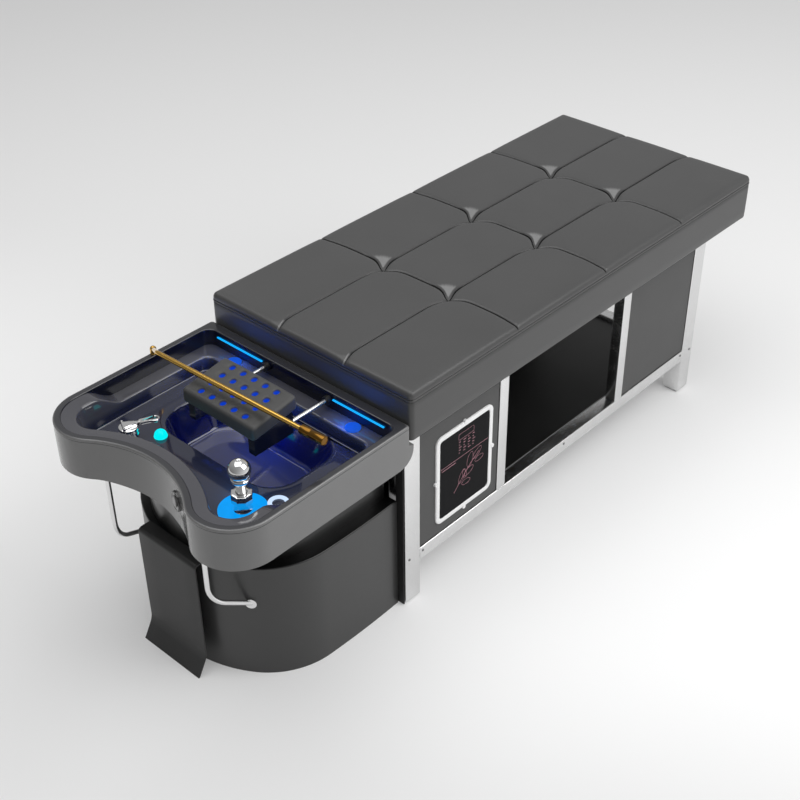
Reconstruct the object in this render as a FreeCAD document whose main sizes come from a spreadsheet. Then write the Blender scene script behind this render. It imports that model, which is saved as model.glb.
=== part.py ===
import FreeCAD, Part
import math
import os
import re
from FreeCAD import Vector

# Hair washing bed: a padded bed on a square tube frame, with a shampoo basin at its head.
# Millimetres. X runs from the basin (-X) to the foot end (+X), -Y is the control panel side,
# Z is up, and the origin is on the floor under the middle of the whole bed.

doc = FreeCAD.newDocument("hair_washing_bed")

# Driving sizes
SIZES = [
    ("bed_length", 1520, "mattress, head face to foot face"),
    ("bed_width", 700, "mattress and basin width"),
    ("basin_projection", 566, "basin lobes past the mattress head face"),
    ("deck_height", 562, "underside of the mattress above the floor"),
    ("mattress_thickness", 131, "mattress at its seams"),
    ("mattress_crown", 9, "rise of each sewn pad over its seams"),
    ("mattress_corner", 14, "radius of the upright mattress corners"),
    ("pad_columns", 3, "sewn pads across the mattress"),
    ("pad_rows", 4, "sewn pads along the mattress"),
    ("tuft_radius", 9, "dimple at each seam crossing"),
    ("board_thickness", 15, "plywood board let into the mattress"),
    ("board_margin", 22, "mattress edge round its board"),
    ("side_overhang", 38, "mattress past the frame on each side"),
    ("head_leg_setback", 18, "head legs behind the mattress head face"),
    ("foot_overhang", 151, "mattress past the foot legs"),
    ("leg_size", 56, "square leg tube"),
    ("tube_wall", 2, "wall of every frame tube"),
    ("foot_pad_height", 4, "plastic pad under each leg"),
    ("foot_pad_inset", 3, "pad edge inside the leg"),
    ("rail_height", 40, "side and end rails"),
    ("rail_width", 40, "side and end rails"),
    ("lower_rail_z", 119, "underside of the lower rails"),
    ("upright_size", 35, "square uprights between the rails"),
    ("upright_one_from_head", 388, "first upright behind the mattress head face"),
    ("upright_two_from_head", 945, "second upright behind the mattress head face"),
    ("screw_head_radius", 4, "pan head frame screws"),
    ("screw_head_height", 1.6, "pan head frame screws"),
    ("fit_gap", 0.3, "gap between pieces that slip together"),
    ("running_gap", 0.08, "radial play of a pin in its bore"),
    ("panel_gap", 3, "shadow gap round each side panel"),
    ("panel_thickness", 6, "face of each side panel"),
    ("panel_back", 6, "rebated back of each side panel"),
    ("panel_recess", 3, "panel face behind the frame face"),
    ("shelf_thickness", 12, "black shelf board"),
    ("shelf_drop", 12, "shelf top under the rail top"),
    ("trim_thickness", 2, "light edge strip of the shelf board"),
    ("ledger_size", 15, "angle that carries the shelf"),
    ("ledger_wall", 2, "angle that carries the shelf"),
    ("partition_thickness", 8, "panel between the bays"),
    ("control_width", 224, "control panel bezel along the bed"),
    ("control_margin", 49, "bezel top under the upper rail"),
    ("control_from_head", 134, "bezel edge behind the mattress head face"),
    ("control_over_rail", 34, "bezel underside above the lower rail"),
    ("control_corner", 22, "bezel corner radius"),
    ("bezel_band", 14, "visible white band of the bezel"),
    ("bezel_proud", 5, "bezel in front of the panel face"),
    ("glass_thickness", 3, "touch glass"),
    ("glass_recess", 1.5, "glass behind the bezel face"),
    ("clip_radius", 6, "round clip on each side of the bezel"),
    ("clip_proud", 2, "clip in front of the bezel face"),
    ("control_box_depth", 48, "electronics box behind the glass"),
    ("control_box_wall", 1.6, "electronics box behind the glass"),
    ("tank_radius", 95, "circulating water heater tank"),
    ("tank_margin", 125, "top of the tank cylinder under the upper rail"),
    ("tank_from_head", 215, "tank axis behind the mattress head face"),
    ("tank_offset", 95, "tank axis left of the centre line"),
    ("pump_radius", 32, "circulation pump"),
    ("pump_length", 90, "circulation pump"),
    ("pump_from_head", 150, "pump middle behind the mattress head face"),
    ("pump_offset", -80, "pump axis off the centre line"),
    ("pipe_radius", 7, "water pipes"),
    ("basin_gap", 4, "basin rim in front of the mattress head face"),
    ("basin_tuck", 12, "basin apron under the mattress"),
    ("rim_over_deck", 54, "top of the basin rim above the underside of the mattress"),
    ("apron_height", 116, "rim top to apron bottom"),
    ("apron_corner", 45, "rounded lower rear corner of the apron"),
    ("lobe_radius", 111, "rounded front corners of the basin"),
    ("notch_depth", 77.8, "hollow in the front edge where the washer stands"),
    ("rim_width", 19, "rounded rim of the basin"),
    ("rim_roll", 6, "rim edge radius"),
    ("bed_rim_width", 29, "basin rim along the mattress"),
    ("ledge_depth", 46, "ledge below the rim top"),
    ("ledge_width", 41, "ledge inside the rim"),
    ("bed_ledge_width", 46, "ledge along the mattress"),
    ("inner_corner", 26, "inside corners of the basin recess"),
    ("deck_depth", 86, "tap deck below the rim top"),
    ("tap_deck_width", 101, "tap deck from the recess edge to the bowl, in the middle"),
    ("bowl_depth", 180, "bowl floor below the rim top"),
    ("bowl_corner", 80, "bowl corners"),
    ("bowl_side_draft", 44, "bowl wall leans in on each side"),
    ("bowl_front_draft", 12, "bowl wall leans in at the taps"),
    ("bowl_rear_draft", 50, "bowl wall leans in by the bed"),
    ("bowl_side_margin", 75, "deck beside the bowl"),
    ("basin_wall", 6, "basin shell"),
    ("drain_from_head", 265, "drain in front of the mattress head face"),
    ("drain_radius", 29, "drain flange"),
    ("drain_bore", 20, "drain hole"),
    ("drain_flange_height", 2, "drain flange over the bowl floor"),
    ("strainer_height", 14, "hair strainer"),
    ("trap_radius", 34, "bottle trap"),
    ("trap_height", 96, "bottle trap"),
    ("tail_length", 60, "tail pipe from the drain to the trap"),
    ("waste_radius", 16, "waste pipe to the floor"),
    ("waste_run", 95, "waste pipe beside the trap"),
    ("tap_from_head", 411, "mixer tap in front of the mattress head face"),
    ("tap_from_side", 156, "mixer tap from the left side of the basin"),
    ("tap_radius", 25, "mixer tap body"),
    ("tap_height", 31, "mixer tap body and stem"),
    ("tap_stem_radius", 14, "mixer tap stem"),
    ("tap_stem_height", 14, "mixer tap stem"),
    ("tap_cap_height", 12, "turning cap of the mixer tap"),
    ("lever_length", 77, "mixer lever from the tap axis"),
    ("lever_width", 30, "mixer lever at the tap"),
    ("lever_thickness", 7, "mixer lever"),
    ("lever_yaw", -27, "lever direction from +X, degrees"),
    ("lever_hinge_offset", 13, "lever hinge behind the tap axis"),
    ("lever_pin_radius", 1.5, "lever hinge pin"),
    ("lever_ear", 4, "ears of the tap cap that hold the lever pin"),
    ("tap_spigot_radius", 12, "spigot that the tap cap turns on"),
    ("shower_from_head", 405, "hand shower in front of the mattress head face"),
    ("shower_from_side", 147, "hand shower from the right side of the basin"),
    ("shower_base_radius", 17, "holder stem on the deck"),
    ("shower_base_height", 22, "holder stem on the deck"),
    ("shower_nut_width", 48, "eight sided holder cup"),
    ("shower_nut_height", 27, "eight sided holder cup"),
    ("shower_neck_radius", 12, "hand shower neck"),
    ("shower_ball_radius", 24, "hand shower head"),
    ("shower_ball_rise", 117, "shower head middle above the deck"),
    ("shower_insert", 24, "neck inside the holder cup"),
    ("dome_light_radius", 16, "domed light on the deck"),
    ("dome_light_from_head", 352, "domed light in front of the mattress head face"),
    ("dome_light_from_side", 198, "domed light from the left side of the basin"),
    ("ring_light_radius", 25, "ring light on the deck"),
    ("ring_light_bore", 15, "ring light on the deck"),
    ("ring_light_height", 5, "ring light on the deck"),
    ("ring_light_from_head", 337, "ring light in front of the mattress head face"),
    ("ring_light_from_side", 103, "ring light from the right side of the basin"),
    ("glow_plate_radius", 58, "lit plate under the hand shower"),
    ("glow_plate_height", 3, "lit plate under the hand shower"),
    ("ledge_lamp_radius", 20, "round lamps on the ledge by the bed"),
    ("ledge_lamp_height", 4, "round lamps on the ledge by the bed"),
    ("ledge_lamp_from_side", 138, "round lamps from the sides of the basin"),
    ("light_bar_width", 5, "light strip under the bed side rim"),
    ("light_bar_height", 6, "light strip under the bed side rim"),
    ("light_bar_margin", 36, "recess past the outer end of each light strip"),
    ("pillow_length", 142, "headrest along the bed"),
    ("pillow_width", 252, "headrest across the bed"),
    ("pillow_thickness", 38, "headrest pad"),
    ("pillow_front_from_head", 293, "headrest front edge from the mattress head face"),
    ("pillow_over_rim", 60, "headrest top at the bed side, above the rim"),
    ("pillow_slope", 8.8, "headrest slope down to the basin, degrees"),
    ("pillow_round", 9, "headrest edges"),
    ("pillow_hole_radius", 8, "drain holes in the headrest"),
    ("pillow_hole_rows", 4, "rows of drain holes"),
    ("pillow_hole_columns", 5, "drain holes in a row"),
    ("pillow_row_pitch", 33.5, "rows of drain holes"),
    ("pillow_column_pitch", 38.7, "drain holes in a row"),
    ("pillow_first_row", 20, "first row from the bed side edge"),
    ("cradle_height", 60, "headrest cradle under the pad at its bed side"),
    ("cradle_margin", 9, "headrest pad past its cradle"),
    ("cradle_wall", 5, "rear bar of the headrest cradle"),
    ("cheek_thickness", 22, "side cheeks of the headrest cradle"),
    ("rod_radius", 6, "headrest rods"),
    ("rod_offset", 109, "headrest rods from the centre line"),
    ("rod_below_rim", 22, "headrest rods below the rim"),
    ("rod_insert", 44, "headrest rod inside its cradle"),
    ("bore_length", 106, "bore for each rod in its cheek"),
    ("socket_radius", 12, "rod sockets on the basin wall"),
    ("socket_length", 12, "rod sockets on the basin wall"),
    ("water_bar_from_head", 208, "water bar pivot from the mattress head face"),
    ("water_bar_base_radius", 8.5, "water bar base on the rim"),
    ("water_bar_base_height", 4, "water bar base on the rim"),
    ("water_bar_pin_radius", 3, "water bar pivot pin"),
    ("water_bar_radius", 7.5, "water bar tube"),
    ("water_bar_collar_height", 10, "water bar collar on its pin"),
    ("water_bar_over_rim", 71, "straight run of the water bar above the rim"),
    ("water_bar_shift", 54, "straight run in front of the pivot, at its near end"),
    ("water_bar_rise_run", 92, "sideways reach of the rising bend"),
    ("water_bar_turn", 2, "swing of the straight run from square, degrees"),
    ("water_bar_end_margin", 38.5, "end of the water bar from the right side of the basin"),
    ("water_bar_cap_radius", 12, "nozzle sleeve at the bar end"),
    ("water_bar_cap_length", 74, "nozzle sleeve at the bar end"),
    ("skirt_drop", 215, "top of the pedestal skirt under the mattress"),
    ("skirt_front", 467.5, "skirt front from the mattress head face"),
    ("skirt_rear", 10, "skirt rear edge behind the mattress head face"),
    ("skirt_side_inset", 59, "skirt in from the sides of the bed at its rear edge"),
    ("skirt_wall", 5, "skirt sheet"),
    ("skirt_edge", 4, "rounded top edge of the skirt"),
    ("skirt_seat", 4, "top of the skirt past the inner face of the lower body"),
    ("base_front", 450, "front of the basin's lower body from the mattress head face"),
    ("base_rear", 2, "rear of the basin's lower body in front of the mattress head face"),
    ("base_side_inset", 91, "lower body in from the sides of the bed"),
    ("base_wall", 5, "lower body of the basin"),
    ("plate_width", 210, "foot plate in front of the skirt"),
    ("plate_thickness", 4, "foot plate"),
    ("plate_standoff", 21, "foot plate in front of the skirt"),
    ("plate_flare", 30, "foot plate flares out at the floor"),
    ("plate_flare_height", 52, "foot plate flares out at the floor"),
    ("plate_bend", 12, "foot plate bend radius"),
    ("brace_radius", 6.5, "bent brace rod under the basin"),
    ("brace_from_side", 178, "brace rods from the sides of the basin"),
    ("brace_from_head", 507, "upright part of each brace rod from the head face"),
    ("brace_bend_drop", 52, "corner of each brace rod under the top of the skirt"),
    ("brace_bend", 80, "bend radius of each brace rod"),
    ("brace_foot_from_head", 410, "brace rod end from the head face"),
    ("brace_foot_from_side", 152, "brace rod end from the sides of the basin"),
    ("brace_foot_drop", 106, "brace rod end under the top of the skirt"),
    ("rosette_radius", 14, "round rosette of each brace rod"),
    ("rosette_height", 5, "round rosette of each brace rod"),
    ("bracket_height", 60, "steel bracket that holds the basin to the frame"),
    ("bracket_width", 40, "steel bracket that holds the basin to the frame"),
    ("button_radius", 13, "push button on the notch face"),
    ("button_travel", 3, "push button"),
    ("button_proud", 2, "push button in front of its ring"),
    ("button_ring_radius", 25, "ring round the push button"),
    ("button_ring_proud", 8, "ring in front of the apron"),
    ("button_ring_base", 2, "closed back of the ring on the apron"),
    ("button_offset", -104, "push button off the centre line"),
    ("button_below_rim", 51, "push button middle below the rim top"),
    ("overrun", 30, "how far a cutting tool runs past what it cuts"),
]

# Plan of the skirt and of the lower body: shares of the length from the rear and of the half width
pedestal_shares = [(1.0, 0.0), (0.879, 0.663), (0.827, 0.77), (0.527, 0.995), (0.272, 1.007), (0.0, 1.0)]
# Shoulder of each sewn pad: shares of the pad's length, then of its crown
pad_shoulder_shares = (0.03, 0.4, 0.09, 0.64)
# Where the frame screws sit: share of the rail height, and of the leg or rail width from its edge
screw_height_share = 0.68
screw_edge_share = 0.26

sizes = doc.addObject("Spreadsheet::Sheet", "sizes")
for row, (name, value, note) in enumerate(SIZES, start=1):
    sizes.set("A%d" % row, name)
    sizes.set("B%d" % row, str(value))
    sizes.set("C%d" % row, note)
    sizes.setAlias("B%d" % row, name)
doc.recompute()

places = doc.addObject("App::VarSet", "places")
PLACES = []


def linked(formula):
    """A formula in plain names becomes one that reads the sheet and the derived places."""
    known = {name: "sizes." + name for name, _, _ in SIZES}
    known.update({name: "places." + name for name in PLACES})
    return re.sub(r"[a-z_]+[a-z0-9_]*", lambda word: known.get(word.group(0), word.group(0)), formula)


def place(name, formula):
    """A length worked out from the driving sizes, kept as a named property."""
    places.addProperty("App::PropertyFloat", name)
    places.setExpression(name, linked(formula))
    PLACES.append(name)


# Places that several pieces share
place("overall_length", "basin_projection + bed_length")
place("rim_height", "deck_height + rim_over_deck")
place("skirt_height", "deck_height - skirt_drop")
place("head_x", "basin_projection - overall_length / 2")
place("foot_x", "head_x + bed_length")
place("half_width", "bed_width / 2")
place("frame_half", "half_width - side_overhang")
place("frame_head_x", "head_x + head_leg_setback")
place("frame_foot_x", "foot_x - foot_overhang")
place("lower_rail_top", "lower_rail_z + rail_height")
place("upper_rail_z", "deck_height - rail_height")
place("bay_head_x", "frame_head_x + leg_size")
place("upright_one_x", "head_x + upright_one_from_head")
place("upright_two_x", "head_x + upright_two_from_head")
place("bay_foot_x", "frame_foot_x - leg_size")
place("shelf_top", "lower_rail_top - shelf_drop")
place("shelf_z", "shelf_top - shelf_thickness")
place("rail_inner_y", "frame_half - rail_width")
place("panel_face_y", "frame_half - panel_recess")
place("panel_back_y", "panel_face_y - panel_thickness - panel_back")
place("control_x", "head_x + control_from_head")
place("control_z", "lower_rail_top + control_over_rail")
place("control_height", "upper_rail_z - control_z - control_margin")
place("tank_height", "upper_rail_z - shelf_top - tank_margin")
place("bezel_face_y", "panel_face_y + bezel_proud")
place("apron_z", "rim_height - apron_height")
place("ledge_z", "rim_height - ledge_depth")
place("tap_deck_z", "rim_height - deck_depth")
place("bowl_z", "rim_height - bowl_depth")
place("tip_x", "head_x - basin_projection")
place("lobe_x", "tip_x + lobe_radius")
place("lobe_y", "half_width - lobe_radius")
place("notch_radius", "(lobe_y^2 + notch_depth^2) / (2 * notch_depth) - lobe_radius")
place("notch_x", "tip_x + notch_depth - notch_radius")
place("recess_bed_x", "head_x - basin_gap - bed_rim_width")
place("mouth_bed_x", "recess_bed_x - bed_ledge_width")
place("mouth_inset", "rim_width + ledge_width")
place("bowl_front_x", "notch_x + notch_radius + mouth_inset + tap_deck_width")
place("bowl_half", "half_width - mouth_inset - bowl_side_margin")
place("drain_x", "head_x - drain_from_head")
place("trap_top", "bowl_z - basin_wall - tail_length")
place("tap_x", "head_x - tap_from_head")
place("tap_offset", "half_width - tap_from_side")
place("tap_top", "tap_deck_z + tap_height")
place("shower_x", "head_x - shower_from_head")
place("shower_y", "shower_from_side - half_width")
place("cup_z", "tap_deck_z + shower_base_height")
place("pillow_front_x", "head_x - pillow_front_from_head")
place("pillow_top", "rim_height + pillow_over_rim")
place("rod_z", "rim_height - rod_below_rim")
place("pillow_rear_x", "pillow_front_x + pillow_length")
place("pillow_under", "pillow_top - pillow_thickness")
place("pillow_fall", "pillow_length * tan(pillow_slope)")
place("bar_x", "head_x - water_bar_from_head")
place("bar_y", "half_width - rim_width / 2")
place("bar_z", "rim_height + water_bar_over_rim")
place("bar_reach", "bar_y - water_bar_rise_run + half_width - water_bar_end_margin")
place("skirt_rear_x", "head_x + skirt_rear")
place("skirt_half_width", "half_width - skirt_side_inset")
place("base_half_width", "half_width - base_side_inset")
place("brace_offset", "half_width - brace_from_side")
place("brace_foot_offset", "half_width - brace_foot_from_side")
place("brace_foot_z", "skirt_height - brace_foot_drop")
place("brace_bend_z", "skirt_height - brace_bend_drop")
place("base_front_x", "head_x - base_front")
place("skirt_front_x", "head_x - skirt_front")
place("plate_x", "skirt_front_x - plate_standoff")
doc.recompute()


def v(name):
    """The number that a size or a place holds."""
    if name in PLACES:
        return getattr(places, name)
    return float(sizes.get(name))


PARTS = []


def keep(piece, label):
    """Marks a finished sub-part under its own name."""
    piece.Label = label
    PARTS.append(piece)
    return piece


def bind(piece, **formulas):
    for name, formula in formulas.items():
        target = {"x": "Placement.Base.x", "y": "Placement.Base.y", "z": "Placement.Base.z"}.get(name, name)
        piece.setExpression(target, linked(formula))
    return piece


def block(name, x, y, z, length, width, height):
    piece = doc.addObject("Part::Box", name)
    return bind(piece, x=x, y=y, z=z, Length=length, Width=width, Height=height)


def drum(name, x, y, z, radius, height, axis="z"):
    """A cylinder whose axis starts at x, y, z and runs along axis."""
    piece = doc.addObject("Part::Cylinder", name)
    turn = {"z": (Vector(0, 0, 1), 0), "y": (Vector(1, 0, 0), -90), "x": (Vector(0, 1, 0), 90)}[axis]
    piece.Placement = FreeCAD.Placement(Vector(0, 0, 0), FreeCAD.Rotation(*turn))
    return bind(piece, x=x, y=y, z=z, Radius=radius, Height=height)


def cut(name, base, tool):
    piece = doc.addObject("Part::Cut", name)
    piece.Base = base
    piece.Tool = tool
    return piece


def fuse(name, *pieces):
    piece = doc.addObject("Part::MultiFuse", name)
    piece.Shapes = list(pieces)
    return piece


def formed(label, shape):
    """A sub-part whose shape is worked out below from the same sizes."""
    piece = doc.addObject("Part::Feature", label)
    piece.Shape = shape
    piece.Placement = FreeCAD.Placement()
    return keep(piece, label)


def tube(name, x, y, z, length, width, height):
    """A steel tube closed at both ends, hollow inside."""
    outer = block(name + "_outer", x, y, z, length, width, height)
    inner = block(name + "_inner", "(%s) + tube_wall" % x, "(%s) + tube_wall" % y, "(%s) + tube_wall" % z,
                  "(%s) - 2 * tube_wall" % length, "(%s) - 2 * tube_wall" % width,
                  "(%s) - 2 * tube_wall" % height)
    return cut(name, outer, inner)


SIDES = [("left", 1), ("right", -1)]


def across(sign, inner, width):
    """The low Y of something that starts at inner from the centre line and is width wide."""
    return "(%s)" % inner if sign > 0 else "-(%s) - (%s)" % (inner, width)


# Frame: four square legs, rails between them and two uprights on each side
for end, x in (("head", "frame_head_x"), ("foot", "bay_foot_x")):
    for side, sign in SIDES:
        leg = tube("leg_%s_%s" % (end, side), x, across(sign, "frame_half - leg_size", "leg_size"),
                   "foot_pad_height", "leg_size", "leg_size", "deck_height - foot_pad_height")
        keep(leg, "leg_%s_%s" % (end, side))

uprights = []
side_rails = {"lower": [], "upper": []}
for side, sign in SIDES:
    rail_y = across(sign, "rail_inner_y", "rail_width")
    for level, z in (("lower", "lower_rail_z"), ("upper", "upper_rail_z")):
        side_rails[level].append(tube("%s_side_rail_%s" % (level, side), "bay_head_x", rail_y, z,
                                      "bay_foot_x - bay_head_x", "rail_width", "rail_height"))
    for number, x in (("one", "upright_one_x"), ("two", "upright_two_x")):
        uprights.append(tube("upright_%s_%s" % (number, side), x,
                             across(sign, "frame_half - upright_size", "upright_size"), "lower_rail_top",
                             "upright_size", "upright_size", "upper_rail_z - lower_rail_top"))
for level in side_rails:
    keep(fuse("%s_side_rails" % level, *side_rails[level]), "%s_side_rails" % level)
keep(fuse("frame_uprights", *uprights), "frame_uprights")

for level, z in (("lower", "lower_rail_z"), ("upper", "upper_rail_z")):
    rails = []
    for end, x in (("head", "frame_head_x + (leg_size - rail_width) / 2"),
                   ("foot", "bay_foot_x + (leg_size - rail_width) / 2")):
        rails.append(tube("%s_end_rail_%s" % (level, end), x, "leg_size - frame_half", z,
                          "rail_width", "2 * (frame_half - leg_size)", "rail_height"))
    keep(fuse("%s_end_rails" % level, *rails), "%s_end_rails" % level)

cross_pieces = []
for number, x in (("one", "upright_one_x"), ("two", "upright_two_x")):
    cross_pieces.append(tube("cross_rail_" + number, x, "-rail_inner_y", "upper_rail_z",
                             "rail_width", "2 * rail_inner_y", "rail_height"))
keep(fuse("deck_cross_rails", *cross_pieces), "deck_cross_rails")

pads = []
for end, x in (("head", "frame_head_x"), ("foot", "bay_foot_x")):
    for side, sign in SIDES:
        pads.append(block("pad_%s_%s" % (end, side), x + " + foot_pad_inset",
                          across(sign, "frame_half - leg_size + foot_pad_inset",
                                 "leg_size - 2 * foot_pad_inset"), "0",
                          "leg_size - 2 * foot_pad_inset", "leg_size - 2 * foot_pad_inset",
                          "foot_pad_height"))
keep(fuse("leg_pads", *pads), "leg_pads")

screws = []
for side, sign in SIDES:
    face = across(sign, "frame_half", "screw_head_height")
    height = "lower_rail_z + rail_height * %s" % screw_height_share
    spots = [("frame_head_x + leg_size * %s" % screw_edge_share, height),
             ("bay_head_x + rail_width * %s" % screw_edge_share, height),
             ("(bay_head_x + bay_foot_x) / 2", height),
             ("bay_foot_x - rail_width * %s" % screw_edge_share, height),
             ("frame_foot_x - leg_size * %s" % screw_edge_share, height)]
    for index, (x, z) in enumerate(spots):
        screws.append(drum("screw_%s_%d" % (side, index), x, face, z,
                           "screw_head_radius", "screw_head_height", "y"))
keep(fuse("frame_screws", *screws), "frame_screws")


# Side panels: a face plate with a shadow gap round it, on a back plate that fills the bay
def side_panel(label, sign, x0, x1, opening=None):
    face = block(label + "_face", x0 + " + panel_gap",
                 across(sign, "panel_face_y - panel_thickness", "panel_thickness"),
                 "lower_rail_top + panel_gap", "%s - (%s) - 2 * panel_gap" % (x1, x0), "panel_thickness",
                 "upper_rail_z - lower_rail_top - 2 * panel_gap")
    back = block(label + "_back", x0 + " + fit_gap",
                 across(sign, "panel_back_y", "panel_back"), "lower_rail_top",
                 "%s - (%s) - 2 * fit_gap" % (x1, x0), "panel_back",
                 "upper_rail_z - lower_rail_top - fit_gap")
    plate = fuse(label + "_plate", face, back)
    if opening is None:
        return keep(plate, label)
    return keep(cut(label, plate, opening), label)


window = block("control_window", "control_x + bezel_band", "-panel_face_y - overrun",
               "control_z + bezel_band", "control_width - 2 * bezel_band",
               "panel_thickness + panel_back + 2 * overrun", "control_height - 2 * bezel_band")
for side, sign in SIDES:
    side_panel("side_panel_head_" + side, sign, "bay_head_x", "upright_one_x",
               window if sign < 0 else None)
    side_panel("side_panel_foot_" + side, sign, "upright_two_x + upright_size", "bay_foot_x")

# Shelf: one black board from end rail to end rail on angle ledgers, with a bay partition
keep(block("shelf_board", "frame_head_x + (leg_size + rail_width) / 2 + fit_gap", "fit_gap - rail_inner_y",
           "shelf_z", "frame_foot_x - frame_head_x - leg_size - rail_width - 2 * fit_gap",
           "2 * (rail_inner_y - fit_gap)", "shelf_thickness"), "shelf_board_blank")
board = PARTS.pop()
notches = []
for end, x in (("head", "frame_head_x - overrun"), ("foot", "bay_foot_x - fit_gap")):
    for side, sign in SIDES:
        notches.append(block("shelf_notch_%s_%s" % (end, side), x,
                             across(sign, "frame_half - leg_size - fit_gap", "leg_size + overrun"),
                             "shelf_z - overrun", "leg_size + overrun + fit_gap", "leg_size + overrun",
                             "shelf_thickness + 2 * overrun"))
keep(cut("shelf_board", board, fuse("shelf_notches", *notches)), "shelf_board")

ledgers = []
trims = []
for side, sign in SIDES:
    flat = block("ledger_flat_" + side, "bay_head_x + ledger_size",
                 across(sign, "rail_inner_y - ledger_size", "ledger_size"), "shelf_z - ledger_wall",
                 "bay_foot_x - bay_head_x - 2 * ledger_size", "ledger_size", "ledger_wall")
    web = block("ledger_web_" + side, "bay_head_x + ledger_size",
                across(sign, "rail_inner_y - ledger_wall", "ledger_wall"), "shelf_z - ledger_size",
                "bay_foot_x - bay_head_x - 2 * ledger_size", "ledger_wall", "ledger_size")
    ledgers.append(fuse("shelf_ledger_" + side, flat, web))
    trims.append(block("shelf_trim_" + side, "upright_one_x + partition_thickness + 2 * fit_gap",
                       across(sign, "rail_inner_y - fit_gap - trim_thickness", "trim_thickness"),
                       "shelf_top", "bay_foot_x - upright_one_x - partition_thickness - 3 * fit_gap",
                       "trim_thickness", "lower_rail_top - shelf_top"))
keep(fuse("shelf_ledgers", *ledgers), "shelf_ledgers")
keep(fuse("shelf_edge_trims", *trims), "shelf_edge_trims")

keep(block("bay_partition", "upright_one_x + fit_gap", "fit_gap - rail_inner_y", "shelf_top",
           "partition_thickness", "2 * (rail_inner_y - fit_gap)", "upper_rail_z - shelf_top"), "bay_partition")


# Control panel: a white bezel in the head panel, touch glass, clips and an electronics box
def rounded_plate(x0, x1, z0, z1, radius, y0, y1):
    """A plate in XZ with four round corners, from y0 to y1."""
    corners = [(x1 - radius, z1 - radius, 0), (x0 + radius, z1 - radius, 90),
               (x0 + radius, z0 + radius, 180), (x1 - radius, z0 + radius, 270)]
    edges = []
    points = []
    for cx, cz, start in corners:
        spots = [Vector(cx + radius * math.cos(math.radians(start + turn)), y0,
                        cz + radius * math.sin(math.radians(start + turn))) for turn in (0, 45, 90)]
        points.append(spots)
    for index, spots in enumerate(points):
        edges.append(Part.Arc(*spots).toShape())
        edges.append(Part.makeLine(spots[2], points[(index + 1) % len(points)][0]))
    return Part.Face(Part.Wire(edges)).extrude(Vector(0, y1 - y0, 0))


cx0 = v("control_x")
cx1 = cx0 + v("control_width")
cz0 = v("control_z")
cz1 = cz0 + v("control_height")
band = v("bezel_band")
bezel_front = -v("bezel_face_y")
panel_front = -v("panel_face_y")
glass_front = bezel_front + v("glass_recess")
glass_back = glass_front + v("glass_thickness")
box_back = panel_front + v("control_box_depth")
gap = v("fit_gap")
inner_radius = v("control_corner") - band / 2

bezel_flange = rounded_plate(cx0, cx1, cz0, cz1, v("control_corner"), bezel_front, panel_front)
bezel_hole = rounded_plate(cx0 + band, cx1 - band, cz0 + band, cz1 - band, inner_radius,
                           bezel_front - v("overrun"), panel_front + v("overrun"))
formed("control_bezel", bezel_flange.cut(bezel_hole).removeSplitter())
glass = rounded_plate(cx0 + band + gap, cx1 - band - gap, cz0 + band + gap, cz1 - band - gap,
                      inner_radius - gap, glass_front, glass_back)
formed("control_glass", glass)

clip_spots = [((cx0 + cx1) / 2, cz1), ((cx0 + cx1) / 2, cz0), (cx0, (cz0 + cz1) / 2), (cx1, (cz0 + cz1) / 2)]
clips = []
for x, z in clip_spots:
    disc = Part.makeCylinder(v("clip_radius"), v("clip_proud") + v("bezel_proud"),
                             Vector(x, bezel_front - v("clip_proud"), z), Vector(0, 1, 0))
    clips.append(disc.cut(bezel_flange))
formed("bezel_clips", Part.makeCompound(clips))

box_wall = v("control_box_wall")
box_radius = inner_radius - gap
box_outer = rounded_plate(cx0 + band + gap, cx1 - band - gap, cz0 + band + gap, cz1 - band - gap,
                          box_radius, glass_back, box_back)
box_inner = rounded_plate(cx0 + band + gap + box_wall, cx1 - band - gap - box_wall,
                          cz0 + band + gap + box_wall, cz1 - band - gap - box_wall,
                          box_radius - box_wall, glass_back, box_back - box_wall)
formed("control_box", box_outer.cut(box_inner))

# Water heater tank and circulation pump on the shelf in the head bay
tank_x = v("head_x") + v("tank_from_head")
tank_z = v("shelf_top")
dome = 0.3 * v("tank_radius")
tank = Part.makeCylinder(v("tank_radius"), v("tank_height"), Vector(tank_x, v("tank_offset"), tank_z))
crown = Part.makeCone(v("tank_radius"), 0.45 * v("tank_radius"), dome,
                      Vector(tank_x, v("tank_offset"), tank_z + v("tank_height")))
formed("heater_tank", tank.fuse(crown).removeSplitter())
pump_x = v("head_x") + v("pump_from_head")
pump_y = v("pump_offset")
pump_z = v("shelf_top") + 1.3 * v("pump_radius")
pump = Part.makeCylinder(v("pump_radius"), v("pump_length"),
                         Vector(pump_x - v("pump_length") / 2, pump_y, pump_z), Vector(1, 0, 0))
volute = Part.makeCylinder(1.15 * v("pump_radius"), 0.3 * v("pump_length"),
                           Vector(pump_x - v("pump_length") / 2, pump_y, pump_z), Vector(1, 0, 0))
foot = Part.makeBox(0.7 * v("pump_length"), 1.4 * v("pump_radius"), 0.5 * v("pump_radius"),
                    Vector(pump_x - 0.35 * v("pump_length"), pump_y - 0.7 * v("pump_radius"), v("shelf_top")))
formed("circulation_pump", pump.multiFuse([volute, foot]).removeSplitter())


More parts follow.
